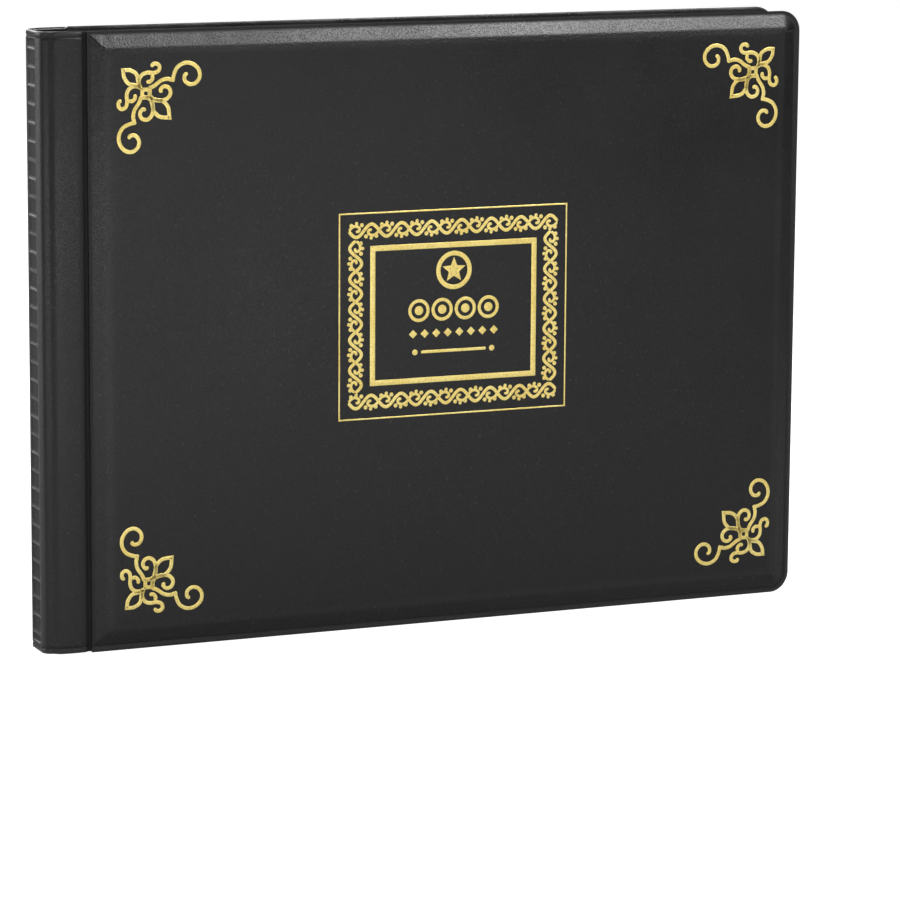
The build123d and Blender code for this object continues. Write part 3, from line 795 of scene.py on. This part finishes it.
def band_relief(along, strip_start, strip_end, path_y, z):
    """Height of the band's outer face: ladder cells, raised border line, crowned strip, welded ends;
    with a mask of painted highlight and rubbing on rungs, border and ends, and one of painted
    shade in the cells and end creases.
    """
    from_middle = np.abs(path_y)
    within = (z > LADDER_END) * (z < HEIGHT - LADDER_END)
    rung = np.abs((z - HEIGHT / 2) % RUNG_PITCH - RUNG_PITCH / 2)
    cell = 1 / (1 + np.exp((np.abs(rung) - (RUNG_PITCH - RUNG_W) / 2) / 0.09))
    cell = cell / (1 + np.exp((from_middle - LADDER_HALF) / 0.09)) * within
    border = np.exp(-(((from_middle - BORDER_Y) / 0.3) ** 2)) * (along < 4)
    t = np.clip((along - strip_start) / (strip_end - strip_start), 0, 1)
    rise = np.sin(np.clip(t / CREST, 0, 1) * np.pi / 2) ** 1.6
    fall = np.cos(np.clip((t - CREST) / (1 - CREST), 0, 1) * np.pi / 2)
    to_end = np.minimum(z, HEIGHT - z)
    crease = np.exp(-(((to_end - END_CREASE) / 0.25) ** 2))
    rim = np.clip(END_CREASE - to_end, 0, 1)
    relief = 0.08 * border + STRIP_CROWN * rise * fall - 0.34 * cell - 0.16 * crease - 0.05 * rim
    relief = relief + 0.008 * uneven(z, 71, 6.0, 20.0) * np.clip(t * 4, 0, 1)
    rungs = (1 - cell) * (from_middle < LADDER_HALF) * within
    # Painted highlight, partly rubbing: rungs, raised border and the band's ends are made lighter.
    wear_and_highlight = 0.6 * border + rungs + 0.4 * np.exp(-(((to_end - 0.4) / 0.35) ** 2))
    return relief, np.clip(wear_and_highlight, 0, 1), np.clip(cell + crease, 0, 1)


print("band thickness", BAND_T)

# %% [markdown]
# At its borders a sheet's edge is round.  The outer and the inner face draw together there: with
# distance e from the edge and half the thickness h, both move in by h - sqrt(h^2 - (h - e)^2).


# %% Bands round the spine
def edge_round(e, half):
    """How far a face draws in at distance e from a round edge of radius half."""
    inside = np.clip(half - e, 0, half)
    return half - np.sqrt(np.maximum(half**2 - inside**2, 0))


def spine_band(name, side, stands_for, end_x, groove):
    """One half of the band; groove is how far its end sinks towards the weld beside the cover."""
    path, normal, along = band_path(end_x)
    z = spaced(0, HEIGHT, 2.4, 0.2, 0.34)
    steps, z_grid = along[:, None], z[None]
    strip_start, strip_end = along[FLAT_STEPS + TURN_STEPS], along[-1]
    path_y = path[:, 1:2] * np.ones_like(z_grid)
    relief, wear_and_highlight, weld = band_relief(steps, strip_start, strip_end - 0.9, path_y, z_grid)
    sink = groove * np.clip((steps - strip_end + 1.3) / 1.3, 0, 1) ** 2 * np.ones_like(z_grid)
    pinch = edge_round(np.minimum(z_grid, HEIGHT - z_grid) * np.ones_like(steps), 0.45)
    # Painted shade also where the strip's end sinks into the groove.
    weld = np.clip(weld + sink / groove * (1 - wear_and_highlight), 0, 1)

    def offset(distance):
        point = path[:, None] + normal[:, None] * distance[..., None]
        return upright(point[..., 0], side * point[..., 1], z_grid)

    outer = offset(relief - sink - pinch)
    inner = offset(pinch - BAND_T)
    points, faces = plate(outer, inner)
    lined = np.zeros(len(faces), bool)
    quads = (len(path) - 1) * (len(z) - 1)
    lined[quads : 2 * quads] = True
    outside_only = lambda mask: np.concatenate([mask.ravel(), np.zeros(mask.size)])
    piece = add_piece(
        name, None, [cover.material, lining.material], [(points, faces)],
        masks={"wear_and_highlight": outside_only(wear_and_highlight), "weld": outside_only(weld)}, stands_for=stands_for, inner=lined,
    )
    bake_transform(piece)


STRIP_END_X, STRIP_SINK = -87.1, 0.45
spine_band(
    "front_spine_band", -1,
    ["spine_skin", "spine_liner", "front_hinge_skin", "front_hinge_liner"], STRIP_END_X, STRIP_SINK,
)
spine_band(
    "back_spine_band", 1,
    ["back_hinge_skin", "back_hinge_liner"], STRIP_END_X, STRIP_SINK,
)

# %% [markdown]
# The groove between strip and cover is a thin weld: a narrow membrane with its two borders
# tucked into the strip and the cover.  On the front, where the cover folds back, it rides on no
# body; on the back it rides on the back cover.


# %% Groove membranes
GROOVE_X, GROOVE_Y, GROOVE_DIP = -86.55, 6.02, 0.2
GROOVE_FROM, GROOVE_TO = -87.9, -84.9


def groove_membrane(name, side, body):
    """Thin sheet from inside the strip's end to inside the cover's rim, dipping in between."""
    x = np.linspace(GROOVE_FROM, GROOVE_TO, 60)[:, None]
    z = spaced(0.15, HEIGHT - 0.15, 2, 0.4, 1.5)[None]
    dip = GROOVE_DIP * np.exp(-(((x - GROOVE_X) / 0.5) ** 2))
    middle = GROOVE_Y - dip + 0.02 * uneven(z, 90)
    half = 0.26 - edge_round(np.minimum(z, HEIGHT - z) * np.ones_like(x), 0.2) * 0.8
    outer = upright(x * np.ones_like(z), side * (middle + half), z)
    inner = upright(x * np.ones_like(z), side * (middle - half), z)
    whole = np.ones(outer.shape[:2])
    return add_piece(
        name, body, [cover.material], [plate(outer, inner)],
        # The whole membrane is painted near black as shade in the groove.
        masks={"wear_and_highlight": both_faces(0 * whole), "weld": both_faces(whole)},
    )


groove_membrane("back_groove", 1, "back_cover")
front_groove = groove_membrane("front_groove", -1, None)
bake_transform(front_groove)

# %% [markdown]
# ## Gold stamping
# A heated die presses foil into the vinyl, so every line is a narrow ribbon that follows the
# padding's surface.  Here a line is a path in the cover's plane with a width along it; a flat
# profile with bevelled sides is carried along the path.  Curls are drawn as smooth curves
# through a few points, and the ends taper to a round tip.


# %% Ribbons on the cover
def smooth_through(points, step=0.16):
    """Even points on a Catmull-Rom curve: a cubic between each pair, parallel at each point to
    the line between its neighbours."""
    p = np.asarray(points, float)
    p = np.concatenate([2 * p[:1] - p[1:2], p, 2 * p[-1:] - p[-2:-1]])
    t = np.linspace(0, 1, 16, endpoint=False)[None, :, None]
    a, b, c, d = (p[k : len(p) - 3 + k, None] for k in range(4))
    square, cube = 2 * a - 5 * b + 4 * c - d, 3 * b - a - 3 * c + d
    curve = 0.5 * (2 * b + (c - a) * t + square * t**2 + cube * t**3)
    curve = np.concatenate([curve.reshape(-1, 2), p[-2:-1]])
    length = np.concatenate([[0], np.cumsum(np.hypot(*np.diff(curve, axis=0).T))])
    even = np.linspace(0, length[-1], max(int(length[-1] / step), 4))
    return np.stack([np.interp(even, length, curve[:, k]) for k in (0, 1)], axis=1)


def cover_surface(x, z):
    """y of the front padding's face at a point of the cover."""
    x0, x1, z0, z1 = PANEL
    depth = panel_depth(x, z, np.full(np.shape(x), 9.0))
    return -(WELD_Y + padding_height(x, z, depth, FRONT_SEED))


FOIL_TOP, FOIL_LOW, FOIL_BEVEL = 0.05, -0.10, 0.09


def ribbon(path, width, loop=False):
    """Foil line along path (n, 2): six-pointed profile, mitred at bends, round at open ends."""
    path = np.asarray(path, float)
    before = path - np.roll(path, 1, axis=0)
    after = np.roll(path, -1, axis=0) - path
    if not loop:
        before[0], after[-1] = after[0], before[-1]
    before /= np.hypot(*before.T)[:, None]
    after /= np.hypot(*after.T)[:, None]
    mean = before + after
    mean /= np.maximum(np.hypot(*mean.T), 1e-6)[:, None]
    mitre = 1 / np.maximum((mean * before).sum(1), 0.4)
    across = np.stack([-mean[:, 1], mean[:, 0]], axis=1) * mitre[:, None]
    half = np.broadcast_to(np.asarray(width, float) / 2, len(path)).copy()
    if not loop:
        gone = np.concatenate([[0], np.cumsum(np.hypot(*np.diff(path, axis=0).T))])
        to_end = np.minimum(gone, gone[-1] - gone)
        half = half - np.minimum(edge_round(to_end, half), half * 0.9)
    bevel = np.minimum(FOIL_BEVEL, half * 0.4)
    offsets = np.stack([-half, -half, -half + bevel, half - bevel, half, half], axis=1)
    lifts = np.array([FOIL_LOW, FOIL_TOP * 0.3, FOIL_TOP, FOIL_TOP, FOIL_TOP * 0.3, FOIL_LOW])
    x = path[:, None, 0] + across[:, None, 0] * offsets
    z = path[:, None, 1] + across[:, None, 1] * offsets
    return sweep(upright(x, cover_surface(x, z) - lifts, z), loop)


def ring(cx, cz, radius, width, n=72):
    """Closed round line."""
    a = np.linspace(0, 2 * np.pi, n, endpoint=False)
    return ribbon(np.stack([cx + radius * np.cos(a), cz + radius * np.sin(a)], axis=1), width, True)


def dot(cx, cz, radius):
    """Filled round spot: a line so short that its two round ends meet."""
    a = np.linspace(0, 2 * np.pi, 20, endpoint=False)[None]
    rings = np.array([[1.0], [1.0], [1 - FOIL_BEVEL / radius], [0.0]]) * radius
    x, z = cx + rings * np.cos(a), cz + rings * np.sin(a)
    lifts = np.array([FOIL_LOW, FOIL_TOP * 0.3, FOIL_TOP, FOIL_TOP])[:, None]
    return sweep(upright(x, cover_surface(x, z) - lifts, z))


def frame_line(cx, cz, w, h, width):
    """Rectangular line with its outer border w by h."""
    a, b = w / 2 - width / 2, h / 2 - width / 2
    n = 40
    side = np.linspace(-1, 1, n, endpoint=False)
    xs = np.concatenate([side * a, np.full(n, a), -side * a, np.full(n, -a)])
    zs = np.concatenate([np.full(n, -b), side * b, np.full(n, b), -side * b])
    return ribbon(np.stack([cx + xs, cz + zs], axis=1), width, True)


print("ribbon helpers ready")

# %% [markdown]
# The corner pieces are scrollwork that mirrors about the corner's diagonal: a small square, a
# hollow leaf on each side of it along the diagonal, and arms that end in curls.  One arm is
# drawn and mirrored, then the whole is mirrored into the four corners.

# %% Corner scrolls
SCROLL_STROKE = 0.9
SIDE_INSET, HEAD_INSET, FOOT_INSET = 6.5, 7.3, 8.6
SCROLL_SCALE = (0.965, 0.98)
LONG_ARM = ((7.9, 6.2), (9.4, 5.6), (11.2, 4.4), (12.9, 4.1), (14.0, 4.5))
BIG_CURL = (
    (14.1, 4.9), (14.3, 3.4), (15.2, 1.5), (17.0, 0.5), (19.0, 0.7), (20.6, 2.0),
    (20.9, 3.8), (19.9, 5.2), (18.4, 5.5), (17.2, 4.7), (17.1, 3.4), (17.9, 2.9),
)
OUTER_CURL = (
    (5.7, 5.7), (5.6, 4.2), (6.3, 3.0), (7.6, 2.5), (9.2, 2.6),
    (10.4, 2.2), (10.8, 1.2), (10.2, 0.5), (9.2, 0.5), (8.7, 1.2),
)
LITTLE_CURL = ((8.9, 2.9), (9.0, 3.9), (8.3, 4.6), (7.4, 4.5))
INNER_CURL = (
    (8.2, 6.3), (8.3, 7.6), (9.2, 8.8), (10.9, 9.1), (12.6, 8.7),
    (13.5, 7.5), (13.1, 6.2), (11.9, 5.8), (11.0, 6.5), (11.3, 7.3),
)
LEAF_TIP = 4  # which point of a leaf is its tip
OUTER_LEAF = (
    (6.0, 6.0), (4.6, 5.3), (3.0, 4.9), (1.9, 3.4), (1.65, 1.75), (3.4, 1.8), (5.0, 2.8), (5.4, 4.5),
)
INNER_LEAF = (
    (8.4, 8.4), (9.9, 8.9), (11.6, 9.3), (12.9, 10.8), (13.2, 13.2), (10.8, 12.9), (9.3, 11.6), (8.9, 9.9),
)
SQUARE = ((6.4, 6.4), (8.3, 6.4), (8.3, 8.3), (6.4, 8.3))


def leaf_outline(points):
    """Closed hollow leaf: two smooth sides that meet in a point at the tip and at the start."""
    first = smooth_through(points[: LEAF_TIP + 1])
    second = smooth_through(points[LEAF_TIP:] + points[:1])
    return np.concatenate([first[:-1], second[:-1]])


def corner_lines():
    """One corner's lines as (path, loop), in mm from its outer side and outer edge."""
    lines = []
    for arm in (LONG_ARM, BIG_CURL, OUTER_CURL, LITTLE_CURL, INNER_CURL):
        path = smooth_through(arm)
        lines += [(path, False), (path[:, ::-1], False)]
    closed = (leaf_outline(OUTER_LEAF), leaf_outline(INNER_LEAF), np.array(SQUARE))
    return lines + [(path, True) for path in closed]


x0, x1, z0, z1 = PANEL
strokes = []
for mirror_x in (False, True):
    for mirror_z in (False, True):
        for path, loop in corner_lines():
            across, up = path[:, 0] * SCROLL_SCALE[0], path[:, 1] * SCROLL_SCALE[1]
            x = x1 - SIDE_INSET - across if mirror_x else x0 + SIDE_INSET + across
            z = z1 - HEAD_INSET - up if mirror_z else z0 + FOOT_INSET + up
            strokes.append(ribbon(np.stack([x, z], axis=1), SCROLL_STROKE, loop))


def stamp(name, strokes, node):
    """Gold piece on the front cover, in place of the CAD's node."""
    add_piece(name, "front_cover", [foil.material], strokes, 50, stands_for=[node])


stamp("corner_scroll_foil", strokes, "gold_corner_scrolls")

# %% [markdown]
# The title frame is a hair line, a band of waving vine with a curled tendril in each hollow and
# leaf dots outside, and a solid inner line.  Within it stand a ring with a star, a row of four
# coins, a row of lozenges and a short rule, where an album would carry its title.

# %% Title frame
FRAME_C = (4.7, 75.9)
FRAME_W, FRAME_H = 59.1, 49.5
HAIR_LINE, INNER_LINE, INNER_INSET = 0.35, 1.3, 8
BAND_IN = 4.3  # from the hair line to the vine's middle
VINE_COLUMNS, VINE_ROWS = 7, 5
VINE_SWING, VINE_STROKE, TENDRIL_STROKE = 1.5, 0.8, 0.68
VINE_TENDRIL = ((0.49, -0.1), (0.40, -0.85), (0.27, -1.15), (0.15, -0.65), (0.17, 0.1), (0.27, 0.15))
VINE_LEAVES = ((-0.07, 1.35, 0.5), (-0.24, 1.75, 0.42), (-0.41, 1.3, 0.5))


def vine(cx, cz, length, along_x):
    """One wave of the vine: the stem, a tendril curled into each hollow, and leaf dots outside."""

    def place(line):
        line = np.asarray(line, float)
        return (line if along_x else line[:, ::-1] * (-1, 1)) + (cx, cz)

    u = np.linspace(-0.5, 0.5, 49)
    stem = np.stack([u * length, VINE_SWING * np.sin(2 * np.pi * u)], axis=1)
    parts = [ribbon(place(stem), VINE_STROKE)]
    for sign in (1, -1):
        tendril = np.array(VINE_TENDRIL) * (length * sign, sign)
        parts.append(ribbon(place(smooth_through(tendril)), TENDRIL_STROKE))
        for leaf_u, leaf_v, r in VINE_LEAVES:
            parts.append(dot(*place([[leaf_u * length * sign, leaf_v * sign]])[0], r))
    return parts


cx, cz = FRAME_C
lines = [
    frame_line(cx, cz, FRAME_W, FRAME_H, HAIR_LINE),
    frame_line(cx, cz, FRAME_W - 2 * INNER_INSET, FRAME_H - 2 * INNER_INSET, INNER_LINE),
]
band_w, band_h = FRAME_W - 2 * BAND_IN, FRAME_H - 2 * BAND_IN
wave_x, wave_z = (band_w + 3.6) / VINE_COLUMNS, (band_h - 4.6) / VINE_ROWS  # the level bands hold the corners
for c in range(VINE_COLUMNS):
    for side in (-1, 1):
        lines += vine(cx + (c + 0.5 - VINE_COLUMNS / 2) * wave_x, cz + side * band_h / 2, wave_x, True)
for r in range(VINE_ROWS):
    for side in (-1, 1):
        lines += vine(cx + side * band_w / 2, cz + (r + 0.5 - VINE_ROWS / 2) * wave_z, wave_z, False)
stamp("title_frame_foil", lines, "gold_border_frame")

# %% Emblem inside the frame
EMBLEM_LIFT, COIN_MARK_LIFT, LOZENGE_LIFT, RULE_LIFT = 10, 0.7, -4.9, -9.3  # from the frame's middle
COIN_MARKS, COIN_MARK_PITCH = 4, 6.0
LOZENGES, LOZENGE_PITCH, LOZENGE_HALF = 8, 3.0, 0.62
RULE_HALF, RULE_DOT_X = 8.5, 10.0
a = np.pi / 2 + np.arange(10) * np.pi / 5
star_r = np.where(np.arange(10) % 2 == 0, 2.2, 0.95)
star = np.stack([cx + star_r * np.cos(a), cz + EMBLEM_LIFT + star_r * np.sin(a)], axis=1)
emblem = [
    ring(cx, cz + EMBLEM_LIFT, 4.05, 1.1),
    ribbon(star, 0.75, True),
    dot(cx, cz + EMBLEM_LIFT, 0.95),
]
for k in range(COIN_MARKS):
    mark_x, mark_z = cx + (k - (COIN_MARKS - 1) / 2) * COIN_MARK_PITCH, cz + COIN_MARK_LIFT
    emblem += [ring(mark_x, mark_z, 2.35, 0.8, 48), dot(mark_x, mark_z, 1.1)]
for k in range(LOZENGES):
    mark_x, mark_z = cx + (k - (LOZENGES - 1) / 2) * LOZENGE_PITCH, cz + LOZENGE_LIFT
    lozenge = np.array([(-1, 0), (0, -1), (1, 0), (0, 1)]) * LOZENGE_HALF + (mark_x, mark_z)
    emblem += [ribbon(lozenge, 0.62, True), dot(mark_x, mark_z, 0.4)]
rule_x = np.linspace(cx - RULE_HALF, cx + RULE_HALF, 60)
emblem.append(ribbon(np.stack([rule_x, np.full(60, cz + RULE_LIFT)], axis=1), 0.7))
for side in (-1, 1):
    emblem.append(dot(cx + side * RULE_DOT_X, cz + RULE_LIFT, 0.7))
stamp("emblem_foil", emblem, "gold_emblem")

# %% [markdown]
# ## Leaves
# A leaf is a black sheet hung on the spine, with rows of pockets on both faces.  The film over a
# row of coins is drawn tight from the welds up over each coin, so its height over the sheet is 1
# on a coin and falls to 0 at the welds; on empty faces it lies flat.  The pockets are open at the
# top, where a smoky flap hangs over them.

# %% Where leaves and pockets are
PAGE_W, PAGE_H, PAGE_Z = 174.0, 134.0, 6.5
SIDE_WELD, FLOOR_WELD, MOUTH_WELD = 2.2, 1.5, 1.1
BINDING, SHEET_HALF, PAGE_CORNER = 6, 0.15, 5  # hinge to pockets, half a sheet, rounding
FILM_LOW, FILM_HIGH, FLAP_T, WELD_LOW = 0.03, 0.16, 0.11, 0.01  # heights over the sheet
HINGE = {1: (-94.35, -2.9), 2: (-93.45, -2.0), 3: (-92.55, -1.1), 4: (-93.45, 2.0), 5: (-94.35, 2.9)}
PAGE_Y = {1: -4.25, 2: -3.10, 3: -1.95, 4: 3.10, 5: 4.25}
SMALL = {"columns": 6, "rows": 4, "gap": 3.9, "flap": 10.0, "coin_r": 12.117, "coin_t": 1.75}
LARGE = {"columns": 4, "rows": 3, "gap": 6.4, "flap": 11.5, "coin_r": 17.45, "coin_t": 2.0}
for layout in (SMALL, LARGE):
    layout["pocket_w"] = (PAGE_W - (layout["columns"] + 1) * SIDE_WELD) / layout["columns"]
    layout["row_h"] = (PAGE_H - (layout["rows"] - 1) * layout["gap"]) / layout["rows"]
COIN_FACES = {(3, 1): SMALL, (4, -1): LARGE}


def pocket_x(layout, page_x, column):
    """Middle of a pocket, for one column or an array of them."""
    return page_x + SIDE_WELD + layout["pocket_w"] / 2 + column * (layout["pocket_w"] + SIDE_WELD)


def row_z(layout, row):
    """Lower edge of a row of pockets."""
    return PAGE_Z + row * (layout["row_h"] + layout["gap"])


def film_lift(layout, page_x, row, x, z, filled):
    """Height of the film over the sheet, by how far a point is from the coin and from the welds.

    With g the distance to the nearest weld and r the distance outside the coin, it is
    g / (g + r) of the coin's thickness; an empty pocket puffs a little in its middle.
    """
    pitch = layout["pocket_w"] + SIDE_WELD
    column = np.clip(np.floor((x - page_x - SIDE_WELD / 2) / pitch), 0, layout["columns"] - 1)
    middle = pocket_x(layout, page_x, column)
    to_weld = layout["pocket_w"] / 2 - np.abs(x - middle)
    floor = row_z(layout, row) + FLOOR_WELD
    to_weld = np.clip(np.minimum(to_weld, z - floor), 0, None)
    if not filled:
        return 0.05 * np.clip(to_weld / 3, 0, 1)
    coin_z = floor + (layout["row_h"] - FLOOR_WELD) / 2
    outside = np.clip(np.hypot(x - middle, z - coin_z) - layout["coin_r"] + 0.35, 0, None)
    share = to_weld / (to_weld + outside + 1e-6)
    return layout["coin_t"] * np.where(to_weld > 0, share * share * (3 - 2 * share), 0)


print("pockets", [round(layout["pocket_w"], 2) for layout in (SMALL, LARGE)])


# %% Films, welds and flaps of one face
def leaf_face(number, side):
    """Pocket films, welded seams and flaps on one side of a leaf."""
    layout = SMALL if number <= 3 else LARGE
    filled = (number, side) in COIN_FACES
    page_x = HINGE[number][0] + BINDING
    face_y = PAGE_Y[number] + side * SHEET_HALF
    step = 1.0 if filled else 2.5
    coin_t = layout["coin_t"]

    def layer(x, z, high, low):
        """Plate over the sheet between two heights."""
        return plate(upright(x, face_y + side * high, z), upright(x, face_y + side * low, z))

    def rounded(x, z):
        """Points drawn inside the page's round corners."""
        box = (page_x, page_x + PAGE_W, PAGE_Z, PAGE_Z + PAGE_H)
        return round_off(x, z, box, PAGE_CORNER, PAGE_CORNER)[:2]

    films, seams, flaps = [], [], []
    across = np.linspace(page_x, page_x + PAGE_W, int(PAGE_W / step))
    for row in range(layout["rows"]):
        low = row_z(layout, row)
        high = low + layout["row_h"]
        upwards = np.linspace(low, high, int((high - low) / step))
        x, z = rounded(*np.meshgrid(across, upwards, indexing="ij"))
        lift = film_lift(layout, page_x, row, x, z, filled)
        films.append(layer(x, z, lift + FILM_HIGH, lift + FILM_LOW))
        # a flap starts at the upper edge of its row and hangs over the mouths
        upwards = np.linspace(high - layout["flap"], high, 14)
        x, z = rounded(*np.meshgrid(across, upwards, indexing="ij"))
        over = film_lift(layout, page_x, row, x, z, filled)
        near_top = np.clip((high - z) / 2.5, 0, 1)
        hang = np.maximum(over, coin_t * 0.55 if filled else 0.03) * near_top + 0.20
        hang = np.minimum(hang, (coin_t if filled else 0.05) + 0.20)
        flaps.append(layer(x, z, hang + FLAP_T, hang))
        for column in range(layout["columns"] + 1):
            u = np.linspace(-1, 1, 7)[:, None]
            v = np.linspace(low + 0.05, high - 0.3, 24)[None]
            left = page_x + column * (layout["pocket_w"] + SIDE_WELD)
            x = left + SIDE_WELD / 2 + u * SIDE_WELD / 2 + 0 * v
            x, z = rounded(x, v + 0 * x)
            seams.append(layer(x, z, 0.17 + 0.10 * np.sqrt(np.maximum(1 - u**2, 0)) + 0 * v, WELD_LOW))
        along = np.linspace(page_x, page_x + PAGE_W, 90)[:, None]
        for base, width, top in ((low, FLOOR_WELD, 0.17), (high - MOUTH_WELD, MOUTH_WELD, 0.32)):
            u = np.linspace(-1, 1, 7)[None]
            x, z = rounded(along + 0 * u, base + width / 2 + u * width / 2 + 0 * along)
            seams.append(layer(x, z, top + 0.08 * np.sqrt(np.maximum(1 - u**2, 0)) + 0 * along, WELD_LOW))
    body = f"leaf_{number}"
    face = f"{body}_{'back' if side > 0 else 'front'}"
    welds = [f"{body}_pocket_welds"] if filled else []
    add_piece(f"{face}_pockets", body, [clear.material], films, 60, stands_for=[f"{face}_film"])
    add_piece(f"{face}_seams", body, [frosted.material], seams, 60, stands_for=welds)
    add_piece(
        f"{face}_mouth_flaps", body, [smoky.material], flaps, 60, stands_for=[f"{face}_flaps"],
    )


for number in HINGE:
    for side in (-1, 1):
        leaf_face(number, side)

# %% [markdown]
# Each leaf hangs on its rib by a narrow web of the same vinyl.  The web crosses the hinge and
# rides on no body.

# %% Webs at the leaf hinges
WEB_REACH, WEB_HALF, WEB_BEND = 0.9, 0.12, 0.35
WEB_FOOT, WEB_HEAD = 6.05, 140.95
for number, (hx, hy) in HINGE.items():
    slope = (PAGE_Y[number] - hy) / BINDING
    x = np.linspace(hx - WEB_REACH, hx + WEB_REACH, 25)[:, None]
    z = np.linspace(WEB_FOOT, WEB_HEAD, 60)[None]
    middle = hy + slope * np.clip(x - hx, 0, None) + 0 * z
    faces = (upright(x + 0 * z, middle + offset, z) for offset in (WEB_HALF, -WEB_HALF))
    web = add_piece(f"leaf_{number}_web", None, [page.material], [plate(*faces)])
    ends = (Vector((hx + reach, hy, 70)) * MM for reach in (-WEB_BEND, WEB_BEND))
    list(ends)
    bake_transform(web)

# %% [markdown]
# ## Coins
# A coin is turned in rings: the height of its face is a function of the distance from its middle
# and the angle.  A raised rim, a ring of beads and a device of the maker's own, a star or a spray
# of leaves in a wreath, are added up into that one height.  The low parts are marked, so that the
# metal can be dull there.


# %% Face of a coin
def soft_step(value, width):
    """0 below zero and 1 above, over a width."""
    return 1 / (1 + np.exp(np.clip(-value / width, -40, 40)))


def coin_face(rho, theta, device):
    """Relief from 0 to 1 at radius rho (0 to 1) and angle theta."""
    rim = soft_step(rho - 0.93, 0.006)
    beads = soft_step(0.55 - np.hypot((rho - 0.875) / 0.03, np.sin(theta * 32) * 1.0), 0.12) * 0.6
    bend = theta * 14 + np.sin((rho - 0.68) * 16) * 1.3
    leaves = soft_step(np.cos(bend) - 0.15 - ((rho - 0.68) / 0.09) ** 2, 0.12) * 0.65
    leaves = leaves * soft_step(np.abs(np.cos(theta / 2 - np.pi / 4)) - 0.12, 0.02)
    if device == "star":
        point = np.abs((theta / (2 * np.pi) * 5 + 0.25) % 1 - 0.5) * 2
        middle = soft_step(0.20 + 0.28 * point**1.6 - rho, 0.012) * (0.55 + 0.45 * point)
        middle = middle + 0.3 * soft_step(0.025 - np.abs(rho - 0.52), 0.006)
    else:
        petal = np.abs(np.cos(theta * 3)) ** 0.7
        middle = soft_step(0.47 * petal - rho, 0.015) * (0.5 + 0.4 * petal)
        middle = middle + 0.5 * soft_step(0.1 - rho, 0.01)
    return np.clip(rim + beads + leaves + middle, 0, 1)


RELIEF_DEEP, COIN_EDGE = 0.20, 0.12


def coin(cx, cz, face_y, side, radius, thickness, device, turn, n_theta, n_rho):
    """Closed coin that lies on face_y: relief on the far side, a plain field with a rim behind."""
    theta = np.linspace(0, 2 * np.pi, n_theta, endpoint=False)[None]
    rho = np.linspace(0, 1, n_rho) ** 0.85
    rho = np.concatenate([rho[rho < 0.985], [0.985]])[:, None]
    relief = coin_face(rho, theta + turn, device)
    front_y = thickness - RELIEF_DEEP + RELIEF_DEEP * relief
    reed = 1 - 0.003 * (np.arange(n_theta) % 2)[None]
    back_rho = np.array([1.0, 0.985, 0.935, 0.915, 0.45, 0.0])[:, None]
    back_y = np.array([1, 0, 0, 1, 1, 1])[:, None] * COIN_EDGE + 0 * theta
    edge_y = thickness - COIN_EDGE
    radii = np.concatenate([rho + 0 * theta, reed + 0 * np.ones((1, 1)), back_rho * reed])
    heights = np.concatenate([front_y, np.full((1, n_theta), edge_y), back_y])
    low = np.concatenate([1 - relief, np.zeros((len(back_rho) + 1, n_theta))])
    x = cx + radius * radii * np.cos(theta)
    z = cz + radius * radii * np.sin(theta)
    count, around = radii.shape
    grid = upright(x, face_y + side * heights, z)
    a = np.arange(count - 1)[:, None] * around + np.arange(around)[None]
    b = np.arange(count - 1)[:, None] * around + (np.arange(around)[None] + 1) % around
    faces = np.stack([a, b, b + around, a + around], axis=-1).reshape(-1, 4)
    return outwards(grid.reshape(-1, 3), faces), low.ravel()


# %% Rows of coins
LOOSE_TURN = 0.25  # how far a coin may lie turned in its pocket
for (number, side), layout in COIN_FACES.items():
    size, n_theta, n_rho = ("small", 144, 26) if layout is SMALL else ("large", 180, 36)
    page_x = HINGE[number][0] + BINDING
    face_y = PAGE_Y[number] + side * SHEET_HALF
    for row in range(layout["rows"]):
        rng = np.random.default_rng(100 * number + row)
        pale = size == "small" and row % 2 == 1
        device = "star" if pale or size == "large" else "spray"
        coin_z = row_z(layout, row) + (FLOOR_WELD + layout["row_h"]) / 2
        parts, lows = [], []
        for column in range(layout["columns"]):
            body, low = coin(
                pocket_x(layout, page_x, column), coin_z, face_y, side, layout["coin_r"],
                layout["coin_t"], device, rng.uniform(-LOOSE_TURN, LOOSE_TURN), n_theta, n_rho,
            )
            parts.append(body)
            lows.append(low)
        metal = (pale_gold if pale else deep_gold).material
        add_piece(
            f"{size}_coin_line_{row + 1}", f"leaf_{number}", [metal], parts, 35,
            masks={"low": np.concatenate(lows)}, stands_for=[f"{size}_coins_row_{row + 1}"],
        )
